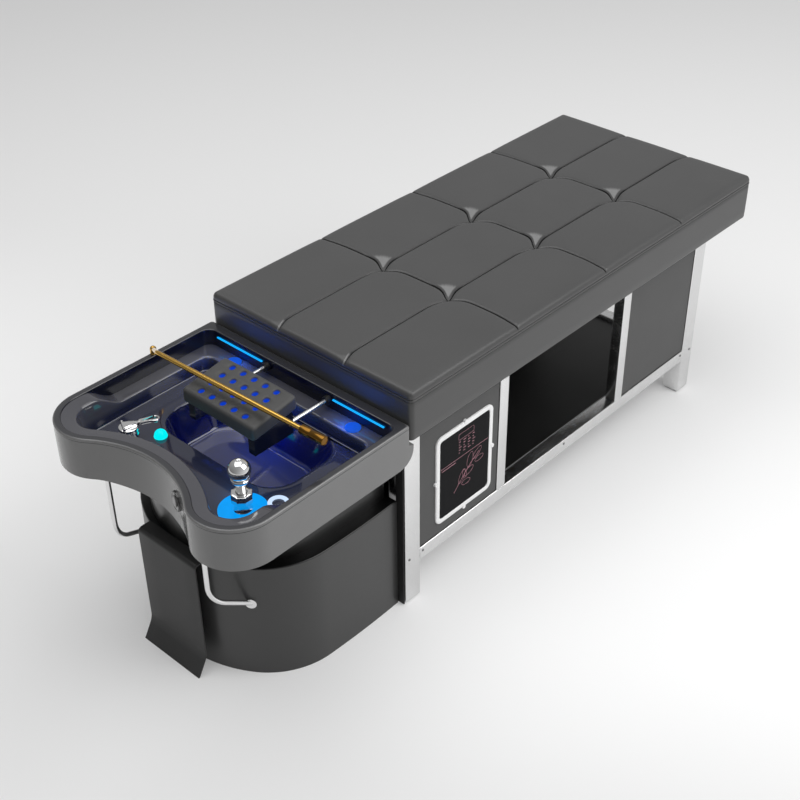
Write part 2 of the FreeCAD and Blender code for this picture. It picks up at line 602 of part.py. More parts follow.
def bent_rod(points, radius, bends):
    """A round rod along straight runs joined by tangent arcs."""
    edges = []
    start = points[0]
    for index in range(1, len(points) - 1):
        before = (points[index - 1] - points[index]).normalize()
        after = (points[index + 1] - points[index]).normalize()
        half = before.getAngle(after) / 2
        reach = bends[index - 1] / math.tan(half)
        first = points[index] + before * reach
        last = points[index] + after * reach
        toward = (before + after).normalize()
        centre = points[index] + toward * (bends[index - 1] / math.sin(half))
        middle = centre - toward * bends[index - 1]
        edges.append(Part.makeLine(start, first))
        edges.append(Part.Arc(first, middle, last).toShape())
        start = last
    edges.append(Part.makeLine(start, points[-1]))
    path = Part.Wire(edges)
    heading = (points[1] - points[0]).normalize()
    profile = Part.Wire([Part.makeCircle(radius, points[0], heading)])
    return path.makePipeShell([profile], True, False)


pipe = v("pipe_radius")
supply_start = Vector(pump_x - v("pump_length") / 2, pump_y, pump_z)
supply_turn = Vector(v("drain_x") + 0.5 * v("drain_from_head"), pump_y, pump_z)
supply_up = Vector(supply_turn.x, pump_y, v("bowl_z") - v("basin_wall") - 3 * pipe)
supply_side = Vector(supply_turn.x, v("tap_offset"), supply_up.z)
riser_low = Vector(v("bowl_front_x") - 1.5 * pipe, v("tap_offset"), supply_up.z)
riser_high = Vector(riser_low.x, v("tap_offset"), v("tap_deck_z") - v("basin_wall") - 2.2 * pipe)
supply_front = Vector(v("tap_x"), v("tap_offset"), riser_high.z)
supply_end = Vector(v("tap_x"), v("tap_offset"), v("tap_deck_z") - v("basin_wall"))
formed("supply_pipe", bent_rod([supply_start, supply_turn, supply_up, supply_side, riser_low, riser_high,
                                supply_front, supply_end], pipe, [4 * pipe] * 4 + [2 * pipe] * 2))

# Mattress: twelve sewn pads, each crowned both ways, over one boxed body with a piped edge
def arched(length, low, edge, crown, width, along_x):
    """A bar with a pillow top: short shoulder arcs at its edges and one long arc between them."""
    near, near_rise, shoulder, shoulder_rise = pad_shoulder_shares

    def spot(along, z):
        return Vector(along, 0, z) if along_x else Vector(0, along, z)

    first = spot(0, edge)
    left = spot(shoulder * length, edge + shoulder_rise * crown)
    right = spot(length - shoulder * length, edge + shoulder_rise * crown)
    last = spot(length, edge)
    edges = [Part.Arc(first, spot(near * length, edge + near_rise * crown), left).toShape(),
             Part.Arc(left, spot(length / 2, edge + crown), right).toShape(),
             Part.Arc(right, spot(length - near * length, edge + near_rise * crown), last).toShape(),
             Part.makeLine(last, spot(length, low)), Part.makeLine(spot(length, low), spot(0, low)),
             Part.makeLine(spot(0, low), first)]
    return Part.Face(Part.Wire(edges)).extrude(Vector(0, width, 0) if along_x else Vector(width, 0, 0))


columns = int(v("pad_columns"))
rows = int(v("pad_rows"))
pad_length = v("bed_length") / rows
pad_width = v("bed_width") / columns
low = v("deck_height")
seam = low + v("mattress_thickness")
crown_height = v("mattress_crown")
pads = []
for row in range(rows):
    for column in range(columns):
        lengthwise = arched(pad_length, low, seam, crown_height, pad_width, True)
        crosswise = arched(pad_width, low, seam, crown_height, pad_length, False)
        pad = lengthwise.common(crosswise)
        pad.translate(Vector(v("head_x") + row * pad_length, column * pad_width - v("half_width"), 0))
        pads.append(pad)
mattress = pads[0].multiFuse(pads[1:])
corner = v("mattress_corner")
keeper = Part.makeBox(v("bed_length"), v("bed_width"), 2 * v("mattress_thickness"),
                      Vector(v("head_x"), -v("half_width"), low))
upright_edges = [edge for edge in keeper.Edges if abs(edge.BoundBox.ZLength - 2 * v("mattress_thickness")) < gap]
mattress = mattress.common(keeper.makeFillet(corner, upright_edges))
tuft_radius = v("tuft_radius")
for row in range(1, rows):
    for column in range(1, columns):
        middle = Vector(v("head_x") + row * pad_length, column * pad_width - v("half_width"), seam)
        mattress = mattress.cut(Part.makeSphere(tuft_radius, middle))
board_space = Part.makeBox(v("bed_length") - 2 * v("board_margin"), v("bed_width") - 2 * v("board_margin"),
                           v("board_thickness") + gap,
                           Vector(v("head_x") + v("board_margin"), v("board_margin") - v("half_width"), low))
formed("mattress_cushion", mattress.cut(board_space).Solids[0])
keep(block("mattress_board", "head_x + board_margin + fit_gap", "board_margin + fit_gap - half_width",
           "deck_height", "bed_length - 2 * (board_margin + fit_gap)",
           "bed_width - 2 * (board_margin + fit_gap)", "board_thickness"), "mattress_board")


# Basin: a moulded shell with a rolled rim and an apron, and a liner with a ledge, a tap deck and a deep bowl
def basin_outline(inset, bed_x, corner, z):
    """The plan of the basin drawn in by inset: straight sides, two lobes and the notch."""
    half = v("half_width") - inset
    lobe = v("lobe_radius") - inset
    notch = v("notch_radius") + inset
    lean = math.atan2(v("lobe_y"), v("lobe_x") - v("notch_x"))
    join = Vector(v("notch_x") + notch * math.cos(lean), notch * math.sin(lean), z)
    middle_turn = (math.radians(90) + math.radians(180) + lean) / 2
    bulge = Vector(v("lobe_x") + lobe * math.cos(middle_turn), v("lobe_y") + lobe * math.sin(middle_turn), z)
    diagonal = corner * (1 - math.sqrt(0.5))
    left = [Vector(bed_x, half - corner, z), Vector(bed_x - diagonal, half - diagonal, z),
            Vector(bed_x - corner, half, z), Vector(v("lobe_x"), half, z), bulge, join]
    right = [Vector(point.x, -point.y, z) for point in left]
    edges = [Part.Arc(left[0], left[1], left[2]).toShape(), Part.makeLine(left[2], left[3]),
             Part.Arc(left[3], left[4], left[5]).toShape(),
             Part.Arc(left[5], Vector(v("notch_x") + notch, 0, z), right[5]).toShape(),
             Part.Arc(right[5], right[4], right[3]).toShape(), Part.makeLine(right[3], right[2]),
             Part.Arc(right[2], right[1], right[0]).toShape(), Part.makeLine(right[0], left[0])]
    return Part.Wire(edges)


def basin_prism(inset, bed_x, corner, z0, z1):
    return Part.Face(basin_outline(inset, bed_x, corner, z0)).extrude(Vector(0, 0, z1 - z0))


def rounded_rectangle(x0, x1, half, radius, z):
    corners = [(x1 - radius, half - radius, 0), (x0 + radius, half - radius, 90),
               (x0 + radius, radius - half, 180), (x1 - radius, radius - half, 270)]
    points = []
    for cx, cy, start in corners:
        points.append([Vector(cx + radius * math.cos(math.radians(start + turn)),
                              cy + radius * math.sin(math.radians(start + turn)), z) for turn in (0, 45, 90)])
    edges = []
    for index, spots in enumerate(points):
        edges.append(Part.Arc(*spots).toShape())
        edges.append(Part.makeLine(spots[2], points[(index + 1) % len(points)][0]))
    return Part.Wire(edges)


def bowl(grow, top, bottom):
    """The deep part: a rounded rectangle that leans in to a smaller one, grown by a wall."""
    upper = rounded_rectangle(v("bowl_front_x") - grow, v("mouth_bed_x") + grow, v("bowl_half") + grow,
                              v("bowl_corner") + grow, top)
    lower = rounded_rectangle(v("bowl_front_x") + v("bowl_front_draft") - grow,
                              v("mouth_bed_x") - v("bowl_rear_draft") + grow,
                              v("bowl_half") - v("bowl_side_draft") + grow,
                              v("bowl_corner") - v("bowl_side_draft") / 2 + grow, bottom)
    return Part.makeLoft([upper, lower], True, True)


def heel_cutter(radius):
    """What is taken off the lower rear edge of the apron to round it."""
    middle = Vector(v("head_x") + v("basin_tuck") - v("apron_corner"), -v("half_width"),
                    v("apron_z") + v("apron_corner"))
    square = Part.makeBox(v("apron_corner") + v("overrun"), v("bed_width") + 2 * v("overrun"),
                          v("apron_corner") + v("overrun"),
                          middle - Vector(0, v("overrun"), v("apron_corner") + v("overrun")))
    bar = Part.makeCylinder(radius, v("bed_width") + 4 * v("overrun"), middle - Vector(0, 2 * v("overrun"), 0),
                            Vector(0, 1, 0))
    return square.cut(bar)


wall = v("basin_wall")
rim = v("rim_width")
rear_x = v("head_x") + v("basin_tuck")
apron_z = v("apron_z")
ledge_z = v("ledge_z")
deck_z = v("tap_deck_z")
bowl_z = v("bowl_z")
over = v("overrun")
edge_round = v("rim_roll")
body = basin_prism(0, rear_x, wall, apron_z, v("rim_height"))
body = body.cut(Part.makeBox(v("basin_tuck") + v("basin_gap") + over, v("bed_width") + 2 * over,
                             v("rim_height"), Vector(v("head_x") - v("basin_gap"), -v("half_width") - over,
                                                     v("deck_height") - v("basin_gap"))))
body = body.cut(heel_cutter(v("apron_corner")))
recess = basin_prism(rim, v("recess_bed_x"), v("inner_corner"), apron_z - over, v("rim_height") + over)
body = body.cut(recess)
top_edges = [edge for edge in body.Edges if abs(edge.BoundBox.ZMin - v("rim_height")) < gap]
body = body.makeFillet(edge_round, top_edges)
under = basin_prism(wall, v("head_x") - v("basin_gap") - wall, wall, apron_z - over, ledge_z - wall)
tuck_room = basin_prism(wall, rear_x - wall, wall, apron_z - over,
                        v("deck_height") - v("basin_gap") - wall)
under = under.fuse(tuck_room.cut(heel_cutter(v("apron_corner") - wall)))
basin = body.cut(under).removeSplitter()
formed("basin_shell", basin)
mouth = v("mouth_inset")
tub = basin_prism(mouth - wall, v("mouth_bed_x") + wall, v("inner_corner"), deck_z - wall, ledge_z - wall)
tub = tub.fuse(bowl(wall, deck_z - wall, bowl_z - wall))
ledge = basin_prism(rim + gap, v("recess_bed_x") - gap, v("inner_corner"), ledge_z - wall, ledge_z)
inside = basin_prism(mouth, v("mouth_bed_x"), v("inner_corner"), deck_z, ledge_z + over)
inside = inside.fuse(bowl(0, deck_z, bowl_z))
drain_hole = Part.makeCylinder(v("drain_bore"), 4 * over, Vector(v("drain_x"), 0, bowl_z - 2 * over))
button_lean = math.asin(v("button_offset") / v("notch_radius"))
button_in = Vector(math.cos(button_lean), math.sin(button_lean), 0)
button_face = Vector(v("notch_x"), 0, v("rim_height") - v("button_below_rim")) + button_in * v("notch_radius")
tap_spot = Vector(v("tap_x"), v("tap_offset"), deck_z)
shower_spot = Vector(v("shower_x"), v("shower_y"), deck_z)
formed("basin_liner", ledge.fuse(tub).cut(inside).cut(drain_hole).removeSplitter())

# Drain: chrome flange in the bowl floor, lift-out strainer, tail pipe, bottle trap and waste pipe
drain = Vector(v("drain_x"), 0, bowl_z)
up = Vector(0, 0, 1)
bore = v("drain_bore")
flange = Part.makeCylinder(v("drain_radius"), v("drain_flange_height"), drain)
sleeve = Part.makeCylinder(bore, wall + v("drain_flange_height"), drain - up * wall)
throat_wall = v("drain_flange_height")
throat = Part.makeCylinder(bore - throat_wall, 2 * wall + 2 * over, drain - up * over)
formed("drain_flange", flange.fuse(sleeve).cut(throat).removeSplitter())
strainer_radius = bore - throat_wall - gap
strainer = Part.makeCylinder(strainer_radius, v("strainer_height") - v("drain_flange_height") + 2 * gap,
                             drain - up * (v("strainer_height") - 2 * v("drain_flange_height")))
lip = Part.makeCylinder(strainer_radius + 2 * throat_wall, throat_wall,
                        drain + up * (v("drain_flange_height") + gap))
strainer = strainer.fuse(lip)
hollow = Part.makeCylinder(strainer_radius - throat_wall, v("strainer_height"),
                           drain - up * (v("strainer_height") - 3 * v("drain_flange_height")))
strainer = strainer.cut(hollow)
hole_count = 8
for index in range(hole_count):
    turn = math.radians(360 * index / hole_count)
    spot = drain + Vector(math.cos(turn), math.sin(turn), 0) * (strainer_radius * 0.6)
    strainer = strainer.cut(Part.makeCylinder(strainer_radius * 0.14, 2 * v("strainer_height"),
                                              spot - up * v("strainer_height")))
knob_height = v("strainer_height") - 2 * v("drain_flange_height")
knob = Part.makeCylinder(strainer_radius * 0.22, knob_height,
                         drain - up * (v("strainer_height") - 3 * v("drain_flange_height")))
formed("drain_strainer", strainer.fuse(knob).removeSplitter())

tail_top = drain - up * wall
tail = Part.makeCylinder(bore, v("tail_length"), tail_top - up * v("tail_length"))
tail = tail.cut(Part.makeCylinder(bore - throat_wall, v("tail_length"), tail_top - up * v("tail_length")))
trap = Part.makeCylinder(v("trap_radius"), v("trap_height"),
                         Vector(v("drain_x"), 0, v("trap_top") - v("trap_height")))
trap_room = Part.makeCylinder(v("trap_radius") - wall, v("trap_height") - 2 * wall,
                              Vector(v("drain_x"), 0, v("trap_top") - v("trap_height") + wall))
trap_inlet = Part.makeCylinder(bore - throat_wall, 2 * wall, Vector(v("drain_x"), 0, v("trap_top") - wall))
formed("drain_trap", trap.cut(trap_room).cut(trap_inlet).fuse(tail).removeSplitter())
waste = v("waste_radius")
waste_z = v("trap_top") - 0.35 * v("trap_height")
waste_start = Vector(v("drain_x"), 0, waste_z)
waste_turn = Vector(v("drain_x") + v("waste_run"), 0, waste_z)
waste_end = Vector(waste_turn.x, 0, 0)
waste_pipe = bent_rod([waste_start, waste_turn, waste_end], waste, [2 * waste])
formed("waste_pipe", waste_pipe.cut(Part.makeCylinder(v("trap_radius"), 2 * v("trap_height"),
                                                      Vector(v("drain_x"), 0, waste_z - v("trap_height")))))

# Mixer tap: body on the deck, turning cap and lifting lever with a finger loop
play = v("running_gap")
cap_foot = tap_spot + up * (v("tap_height") + gap)
cap_height = v("tap_cap_height") - 2 * gap
spigot_height = v("tap_height") + v("tap_cap_height") / 2
stem_height = v("tap_stem_height")
tap_body = Part.makeCylinder(v("tap_radius"), v("tap_height") - stem_height, tap_spot + up * stem_height)
tap_stem = Part.makeCylinder(v("tap_stem_radius"), stem_height, tap_spot)
spigot = Part.makeCylinder(v("tap_spigot_radius"), spigot_height, tap_spot)
formed("tap_body", tap_body.multiFuse([tap_stem, spigot]).removeSplitter())

lever_dir = Vector(math.cos(math.radians(v("lever_yaw"))), math.sin(math.radians(v("lever_yaw"))), 0)
lever_side = up.cross(lever_dir)
lever_low = tap_spot + up * (v("tap_height") + v("tap_cap_height"))
half_thick = v("lever_thickness") / 2
hinge = lever_low - lever_dir * v("lever_hinge_offset") + up * half_thick
root_half = v("lever_width") / 2
tip_half = v("lever_width") * 0.4
ears = []
for sign in (1, -1):
    middle = hinge + lever_side * (sign * (root_half + gap + v("lever_ear") / 2))
    barrel = Part.makeCylinder(half_thick, v("lever_ear"), middle - lever_side * (v("lever_ear") / 2), lever_side)
    neck_block = Part.makeBox(v("lever_thickness"), v("lever_ear"), half_thick + 2 * gap)
    neck_block.Placement = FreeCAD.Placement(
        middle - lever_side * (v("lever_ear") / 2) - lever_dir * half_thick - up * (half_thick + 2 * gap),
        FreeCAD.Rotation(up, v("lever_yaw")))
    ears += [barrel, neck_block]
hinge_pin = Part.makeCylinder(v("lever_pin_radius"), 2 * (root_half + gap) + v("lever_ear"),
                              hinge - lever_side * (root_half + gap + v("lever_ear") / 2), lever_side)
cap = Part.makeCylinder(v("tap_radius") - gap, cap_height, cap_foot)
cap_bore = Part.makeCylinder(v("tap_spigot_radius") + play, v("tap_cap_height") / 2 + gap, cap_foot - up * gap)
formed("tap_cap", cap.multiFuse(ears + [hinge_pin]).cut(cap_bore).removeSplitter())

tip = lever_low + lever_dir * (v("lever_length") - tip_half)
root = hinge - up * half_thick
corners = [root + lever_side * root_half, tip + lever_side * tip_half,
           tip - lever_side * tip_half, root - lever_side * root_half]
outline = Part.Wire([Part.makeLine(corners[0], corners[1]),
                     Part.Arc(corners[1], tip + lever_dir * tip_half, corners[2]).toShape(),
                     Part.makeLine(corners[2], corners[3]), Part.makeLine(corners[3], corners[0])])
lever = Part.Face(outline).extrude(up * v("lever_thickness"))
lever_barrel = Part.makeCylinder(half_thick, v("lever_width"), hinge - lever_side * root_half, lever_side)
pin_bore = Part.makeCylinder(v("lever_pin_radius") + play, v("lever_width") + 2 * over,
                             hinge - lever_side * (root_half + over), lever_side)
slot_half = v("lever_width") * 0.22
slot_a = lever_low + lever_dir * (v("lever_length") * 0.42)
slot_b = lever_low + lever_dir * (v("lever_length") - tip_half)
slot = Part.Wire([Part.makeLine(slot_a + lever_side * slot_half, slot_b + lever_side * slot_half),
                  Part.Arc(slot_b + lever_side * slot_half, slot_b + lever_dir * slot_half,
                           slot_b - lever_side * slot_half).toShape(),
                  Part.makeLine(slot_b - lever_side * slot_half, slot_a - lever_side * slot_half),
                  Part.Arc(slot_a - lever_side * slot_half, slot_a - lever_dir * slot_half,
                           slot_a + lever_side * slot_half).toShape()])
slot_cut = Part.Face(slot).extrude(up * (v("lever_thickness") + 2 * over))
slot_cut.translate(up * -over)
formed("tap_lever", lever.fuse(lever_barrel).cut(pin_bore).cut(slot_cut).removeSplitter())

# Hand shower: deck holder with an eight sided cup, and the shower that lifts out of it
stem = Part.makeCone(v("shower_base_radius") * 1.3, v("shower_base_radius"), v("shower_base_height"),
                     shower_spot + up * v("glow_plate_height"))
cup_low = shower_spot + up * (v("glow_plate_height") + v("shower_base_height"))
across_corners = v("shower_nut_width") / 2 / math.cos(math.radians(22.5))
cup_points = [cup_low + Vector(math.cos(math.radians(45 * index + 22.5)),
                               math.sin(math.radians(45 * index + 22.5)), 0) * across_corners
              for index in range(9)]
cup = Part.Face(Part.makePolygon(cup_points)).extrude(up * v("shower_nut_height"))
socket_depth = v("shower_insert") + gap
socket = Part.makeCylinder(v("shower_neck_radius") + gap, socket_depth + over,
                           cup_low + up * (v("shower_nut_height") - socket_depth))
formed("shower_holder", stem.fuse(cup).cut(socket).removeSplitter())
neck_low = cup_low + up * (v("shower_nut_height") - v("shower_insert"))
ball_centre = shower_spot + up * v("shower_ball_rise")
neck = Part.makeCylinder(v("shower_neck_radius"), ball_centre.z - neck_low.z, neck_low)
collar = Part.makeCone(v("shower_neck_radius") * 1.35, v("shower_neck_radius") * 1.7,
                       v("shower_ball_radius") * 0.5, ball_centre - up * v("shower_ball_radius") * 1.25)
ball = Part.makeSphere(v("shower_ball_radius"), ball_centre)
formed("hand_shower", ball.multiFuse([neck, collar]).removeSplitter())

# Lights in the basin
ring_spot = Vector(v("head_x") - v("ring_light_from_head"), v("ring_light_from_side") - v("half_width"), deck_z)
glow = Part.makeCylinder(v("glow_plate_radius"), v("glow_plate_height"), shower_spot)
glow = glow.cut(Part.makeCylinder(v("ring_light_radius") + gap, v("ring_light_height"), ring_spot))
formed("glow_plate", glow.common(basin_prism(mouth + gap, v("mouth_bed_x"), v("inner_corner"),
                                             deck_z, ledge_z)))
dome_spot = Vector(v("head_x") - v("dome_light_from_head"), v("half_width") - v("dome_light_from_side"), deck_z)
dome_base = Part.makeCylinder(v("dome_light_radius"), v("glow_plate_height"), dome_spot)
dome_ball = Part.makeSphere(v("dome_light_radius"), dome_spot + up * v("glow_plate_height"))
dome_floor = Part.makeCylinder(2 * v("dome_light_radius"), 2 * v("dome_light_radius"),
                               dome_spot - up * 2 * v("dome_light_radius"))
formed("dome_light", dome_ball.cut(dome_floor).fuse(dome_base).removeSplitter())
ring = Part.makeCylinder(v("ring_light_radius"), v("ring_light_height"), ring_spot)
ring = ring.cut(Part.makeCylinder(v("ring_light_bore"), v("ring_light_height") - throat_wall,
                                  ring_spot + up * throat_wall))
formed("ring_light", ring)
lamp_x = v("mouth_bed_x") + v("bed_ledge_width") / 2
formed("ledge_lamps", Part.makeCompound(
    [Part.makeCylinder(v("ledge_lamp_radius"), v("ledge_lamp_height"),
                       Vector(lamp_x, sign * (v("half_width") - v("ledge_lamp_from_side")), ledge_z)) for _, sign in SIDES]))
strips = []
for side, sign in SIDES:
    strip_length = "half_width - rim_width - light_bar_margin - rod_offset - socket_radius - light_bar_width"
    strips.append(block("light_strip_" + side, "recess_bed_x - light_bar_width",
                        across(sign, "rod_offset + socket_radius + light_bar_width", strip_length),
                        "rim_height - 2 * rim_roll - light_bar_height", "light_bar_width", strip_length,
                        "light_bar_height"))
keep(fuse("light_strips", *strips), "light_strips")

# Headrest: soft pad with drain holes on a cradle that slides on two rods
slope = math.radians(v("pillow_slope"))
rear = v("pillow_rear_x")
front = v("pillow_front_x")
half_pillow = v("pillow_width") / 2
fall = v("pillow_fall")


def sloped_slab(x0, x1, top_rear, top_front, low_rear, low_front, half):
    """A slab whose top and underside each lean in a straight line from rear to front."""
    points = [Vector(x1, -half, top_rear), Vector(x0, -half, top_front), Vector(x0, -half, low_front),
              Vector(x1, -half, low_rear), Vector(x1, -half, top_rear)]
    return Part.Face(Part.makePolygon(points)).extrude(Vector(0, 2 * half, 0))


pad_top = v("pillow_top")
pad_low = v("pillow_under")
pad = sloped_slab(front, rear, pad_top, pad_top - fall, pad_low, pad_low - fall, half_pillow)
top_face = max(pad.Faces, key=lambda face: face.CenterOfMass.z)
pad = pad.makeFillet(v("pillow_round"), top_face.Edges)
row_count = int(v("pillow_hole_rows"))
column_count = int(v("pillow_hole_columns"))
for row in range(row_count):
    for column in range(column_count):
        x = rear - v("pillow_first_row") - row * v("pillow_row_pitch")
        y = (column - (column_count - 1) / 2) * v("pillow_column_pitch")
        pad = pad.cut(Part.makeCylinder(v("pillow_hole_radius"), 2 * v("pillow_thickness") + fall,
                                        Vector(x, y, pad_low - v("pillow_thickness") - fall / 2)))
formed("headrest_pad", pad)

margin = v("cradle_margin")
cradle_front = front + margin
cradle_rear = rear - margin
cradle_half = half_pillow - margin
slope_ratio = fall / v("pillow_length")
cradle_top_rear = pad_low - margin * slope_ratio - gap
cradle_top_front = pad_low - (v("pillow_length") - margin) * slope_ratio - gap
cradle_low = pad_low - v("cradle_height") - fall / 2
cradle = sloped_slab(cradle_front, cradle_rear, cradle_top_rear, cradle_top_front, cradle_low, cradle_low,
                     cradle_half)
cradle_wall = v("cradle_wall")
cheek = v("cheek_thickness")
rod = v("rod_radius")
middle_room = sloped_slab(cradle_front - over, cradle_rear - cradle_wall, pad_top, pad_top, cradle_low - over,
                          cradle_low - over, cradle_half - cheek)
bar_room = sloped_slab(cradle_front - over, rear + over, v("rod_z") + 2 * rod, v("rod_z") + 2 * rod,
                       cradle_low - over, cradle_low - over, cradle_half - cheek)
cradle = cradle.cut(middle_room).cut(bar_room)
for sign in (1, -1):
    bore_start = Vector(cradle_rear - v("bore_length"), sign * v("rod_offset"), v("rod_z"))
    cradle = cradle.cut(Part.makeCylinder(rod + v("running_gap"), v("bore_length") + over, bore_start,
                                          Vector(1, 0, 0)))
cradle_roof = sloped_slab(front - over, rear + over, cradle_top_rear + (margin + over) * slope_ratio,
                          cradle_top_front - (margin + over) * slope_ratio, cradle_low - over,
                          cradle_low - over, half_pillow + over)
formed("headrest_cradle", cradle.common(cradle_roof).removeSplitter())

socket_x = v("recess_bed_x")
sockets = []
rods = []
rod_tip = cradle_rear - v("rod_insert")
for sign in (1, -1):
    wall_spot = Vector(socket_x - v("socket_length"), sign * v("rod_offset"), v("rod_z"))
    cup_shape = Part.makeCylinder(v("socket_radius"), v("socket_length"), wall_spot, Vector(1, 0, 0))
    rod_seat = Part.makeCylinder(rod, v("socket_length"), wall_spot - Vector(wall, 0, 0), Vector(1, 0, 0))
    sockets.append(cup_shape.cut(rod_seat))
    rods.append(Part.makeCylinder(rod, socket_x - wall - rod_tip, Vector(rod_tip, sign * v("rod_offset"), v("rod_z")),
                                  Vector(1, 0, 0)))
formed("rod_sockets", Part.makeCompound(sockets))
formed("headrest_rods", Part.makeCompound(rods))

# Water bar: base and pin on the rim, bent tube that swings over the headrest, nozzle sleeve
pivot = Vector(v("bar_x"), v("bar_y"), v("rim_height"))
base = Part.makeCylinder(v("water_bar_base_radius"), v("water_bar_base_height") + edge_round,
                         pivot - up * edge_round).cut(basin)
collar_low = pivot + up * (v("water_bar_base_height") + gap)
pin = Part.makeCylinder(v("water_bar_pin_radius"), v("water_bar_base_height") + gap + v("water_bar_collar_height") / 2,
                        pivot)
formed("water_bar_base", base.fuse(pin).removeSplitter())
bar = v("water_bar_radius")
bar_collar = Part.makeCylinder(v("water_bar_base_radius"), v("water_bar_collar_height"), collar_low)
collar_top = collar_low + up * v("water_bar_collar_height")
run_turn = math.radians(v("water_bar_turn"))
run_dir = Vector(math.sin(run_turn), -math.cos(run_turn), 0)
run_start = Vector(pivot.x - v("water_bar_shift"), pivot.y - v("water_bar_rise_run"), v("bar_z"))
sleeve_start = run_start + run_dir * (v("bar_reach") - v("water_bar_cap_length"))
tube_shape = bent_rod([collar_top, run_start, sleeve_start], bar, [5 * bar])
knuckle = Part.makeSphere(v("water_bar_base_radius") + play, collar_top)
pin_room = Part.makeCylinder(v("water_bar_pin_radius") + play, v("water_bar_collar_height") / 2 + gap,
                             collar_low)
formed("water_bar_tube", bar_collar.fuse(knuckle).fuse(tube_shape).cut(pin_room).removeSplitter())
formed("water_bar_sleeve", Part.makeCylinder(v("water_bar_cap_radius"), v("water_bar_cap_length"),
                                             sleeve_start, run_dir))

# Pedestal: curved skirt with a top ledge, the basin's lower body on it, foot plate and two bent brace rods
def pedestal_outline(front_x, rear_x, half, grow, z):
    """A plan from shares of the length between front_x and rear_x and of the half width."""
    left = [Vector(rear_x - (rear_x - front_x) * share_x, half * share_y, z)
            for share_x, share_y in pedestal_shares]
    front_point, shoulder, cheek, hip, flank, rear_point = left
    mirror = lambda point: Vector(point.x, -point.y, z)
    edges = [Part.Arc(mirror(shoulder), front_point, shoulder).toShape(),
             Part.Arc(shoulder, cheek, hip).toShape(), Part.Arc(hip, flank, rear_point).toShape(),
             Part.makeLine(rear_point, mirror(rear_point)),
             Part.Arc(mirror(rear_point), mirror(flank), mirror(hip)).toShape(),
             Part.Arc(mirror(hip), mirror(cheek), mirror(shoulder)).toShape()]
    wire = Part.Wire(edges)
    if grow:
        wire = wire.makeOffset2D(grow)
    return Part.Face(wire)


def skirt_plan(grow, z):
    return pedestal_outline(v("skirt_front_x"), v("skirt_rear_x"), v("skirt_half_width"), grow, z)


def base_plan(grow, z):
    return pedestal_outline(v("base_front_x"), v("head_x") - v("base_rear"), v("base_half_width"), grow, z)


skirt_top = v("skirt_height")
skirt_wall = v("skirt_wall")
base_wall = v("base_wall")
base_top = deck_z - wall
skirt_solid = skirt_plan(0, 0).extrude(up * skirt_top)
top_edges = [edge for edge in skirt_solid.Edges if edge.BoundBox.ZMin > skirt_top - gap]
skirt_solid = skirt_solid.makeFillet(min(v("skirt_edge"), skirt_wall - gap), top_edges)
skirt_room = skirt_plan(-skirt_wall, 0).extrude(up * (skirt_top - skirt_wall))
top_hole = base_plan(-base_wall - v("skirt_seat"), skirt_top - skirt_wall).extrude(up * 2 * skirt_wall)
skirt_opening = Part.makeBox(2 * skirt_wall, 2 * v("skirt_half_width") - 2 * skirt_wall, skirt_top - skirt_wall,
                             Vector(v("skirt_rear_x") - 1.5 * skirt_wall, skirt_wall - v("skirt_half_width"), 0))
formed("pedestal_skirt", skirt_solid.cut(skirt_room).cut(top_hole).cut(skirt_opening).removeSplitter())

base_body = base_plan(0, skirt_top).extrude(up * (base_top - skirt_top))
base_body = base_body.cut(base_plan(-base_wall, skirt_top).extrude(up * (base_top - skirt_top)))
heel_x = rear_x - v("apron_corner")
heel = Part.makeCylinder(v("apron_corner") + gap, v("bed_width"),
                         Vector(heel_x, -v("half_width"), apron_z + v("apron_corner")), Vector(0, 1, 0))
heel = heel.common(Part.makeBox(2 * v("apron_corner"), v("bed_width"), 2 * v("apron_corner"),
                                Vector(heel_x, -v("half_width"), apron_z - gap)))
pipe_pass = Part.makeCylinder(pipe + gap, riser_low.x - v("tap_x"), supply_front, Vector(1, 0, 0))
formed("basin_base", base_body.cut(heel).cut(pipe_pass).removeSplitter())

plate_top = v("skirt_height") + gap + v("plate_thickness")
thick = v("plate_thickness")
bend = v("plate_bend")
flare_z = v("plate_flare_height")
plate_half = v("plate_width") / 2


def plate_profile(offset):
    """Points of the folded plate from its flange to the floor, offset in from its outer face."""
    px = v("plate_x") + offset
    toe = v("plate_x") - v("plate_flare") + offset
    return [(v("base_front_x") - gap, plate_top - offset), (px + bend - offset, plate_top - offset),
            (px, plate_top - bend), (px, flare_z), (toe, 0)]


outer_line = plate_profile(0)
inner_line = plate_profile(thick)
face_points = [Vector(x, -plate_half, z) for x, z in outer_line]
back_points = [Vector(x, -plate_half, z) for x, z in inner_line]
corner_centre = Vector(v("plate_x") + bend, -plate_half, plate_top - bend)
outer_mid = corner_centre + Vector(-1, 0, 1) * (bend * math.sqrt(0.5))
inner_mid = corner_centre + Vector(-1, 0, 1) * ((bend - thick) * math.sqrt(0.5))
outer_arc_end = Vector(v("plate_x") + bend, -plate_half, plate_top)
inner_arc_start = Vector(v("plate_x") + thick, -plate_half, plate_top - bend)
inner_arc_end = Vector(v("plate_x") + bend, -plate_half, plate_top - thick)
flange_end = Vector(v("base_front_x") - gap, -plate_half, plate_top)
flange_under = Vector(flange_end.x, -plate_half, plate_top - thick)
edges = [Part.makeLine(flange_end, outer_arc_end), Part.Arc(outer_arc_end, outer_mid, face_points[2]).toShape(),
         Part.makeLine(face_points[2], face_points[3]), Part.makeLine(face_points[3], face_points[4]),
         Part.makeLine(face_points[4], back_points[4]), Part.makeLine(back_points[4], back_points[3]),
         Part.makeLine(back_points[3], inner_arc_start),
         Part.Arc(inner_arc_start, inner_mid, inner_arc_end).toShape(),
         Part.makeLine(inner_arc_end, flange_under), Part.makeLine(flange_under, flange_end)]
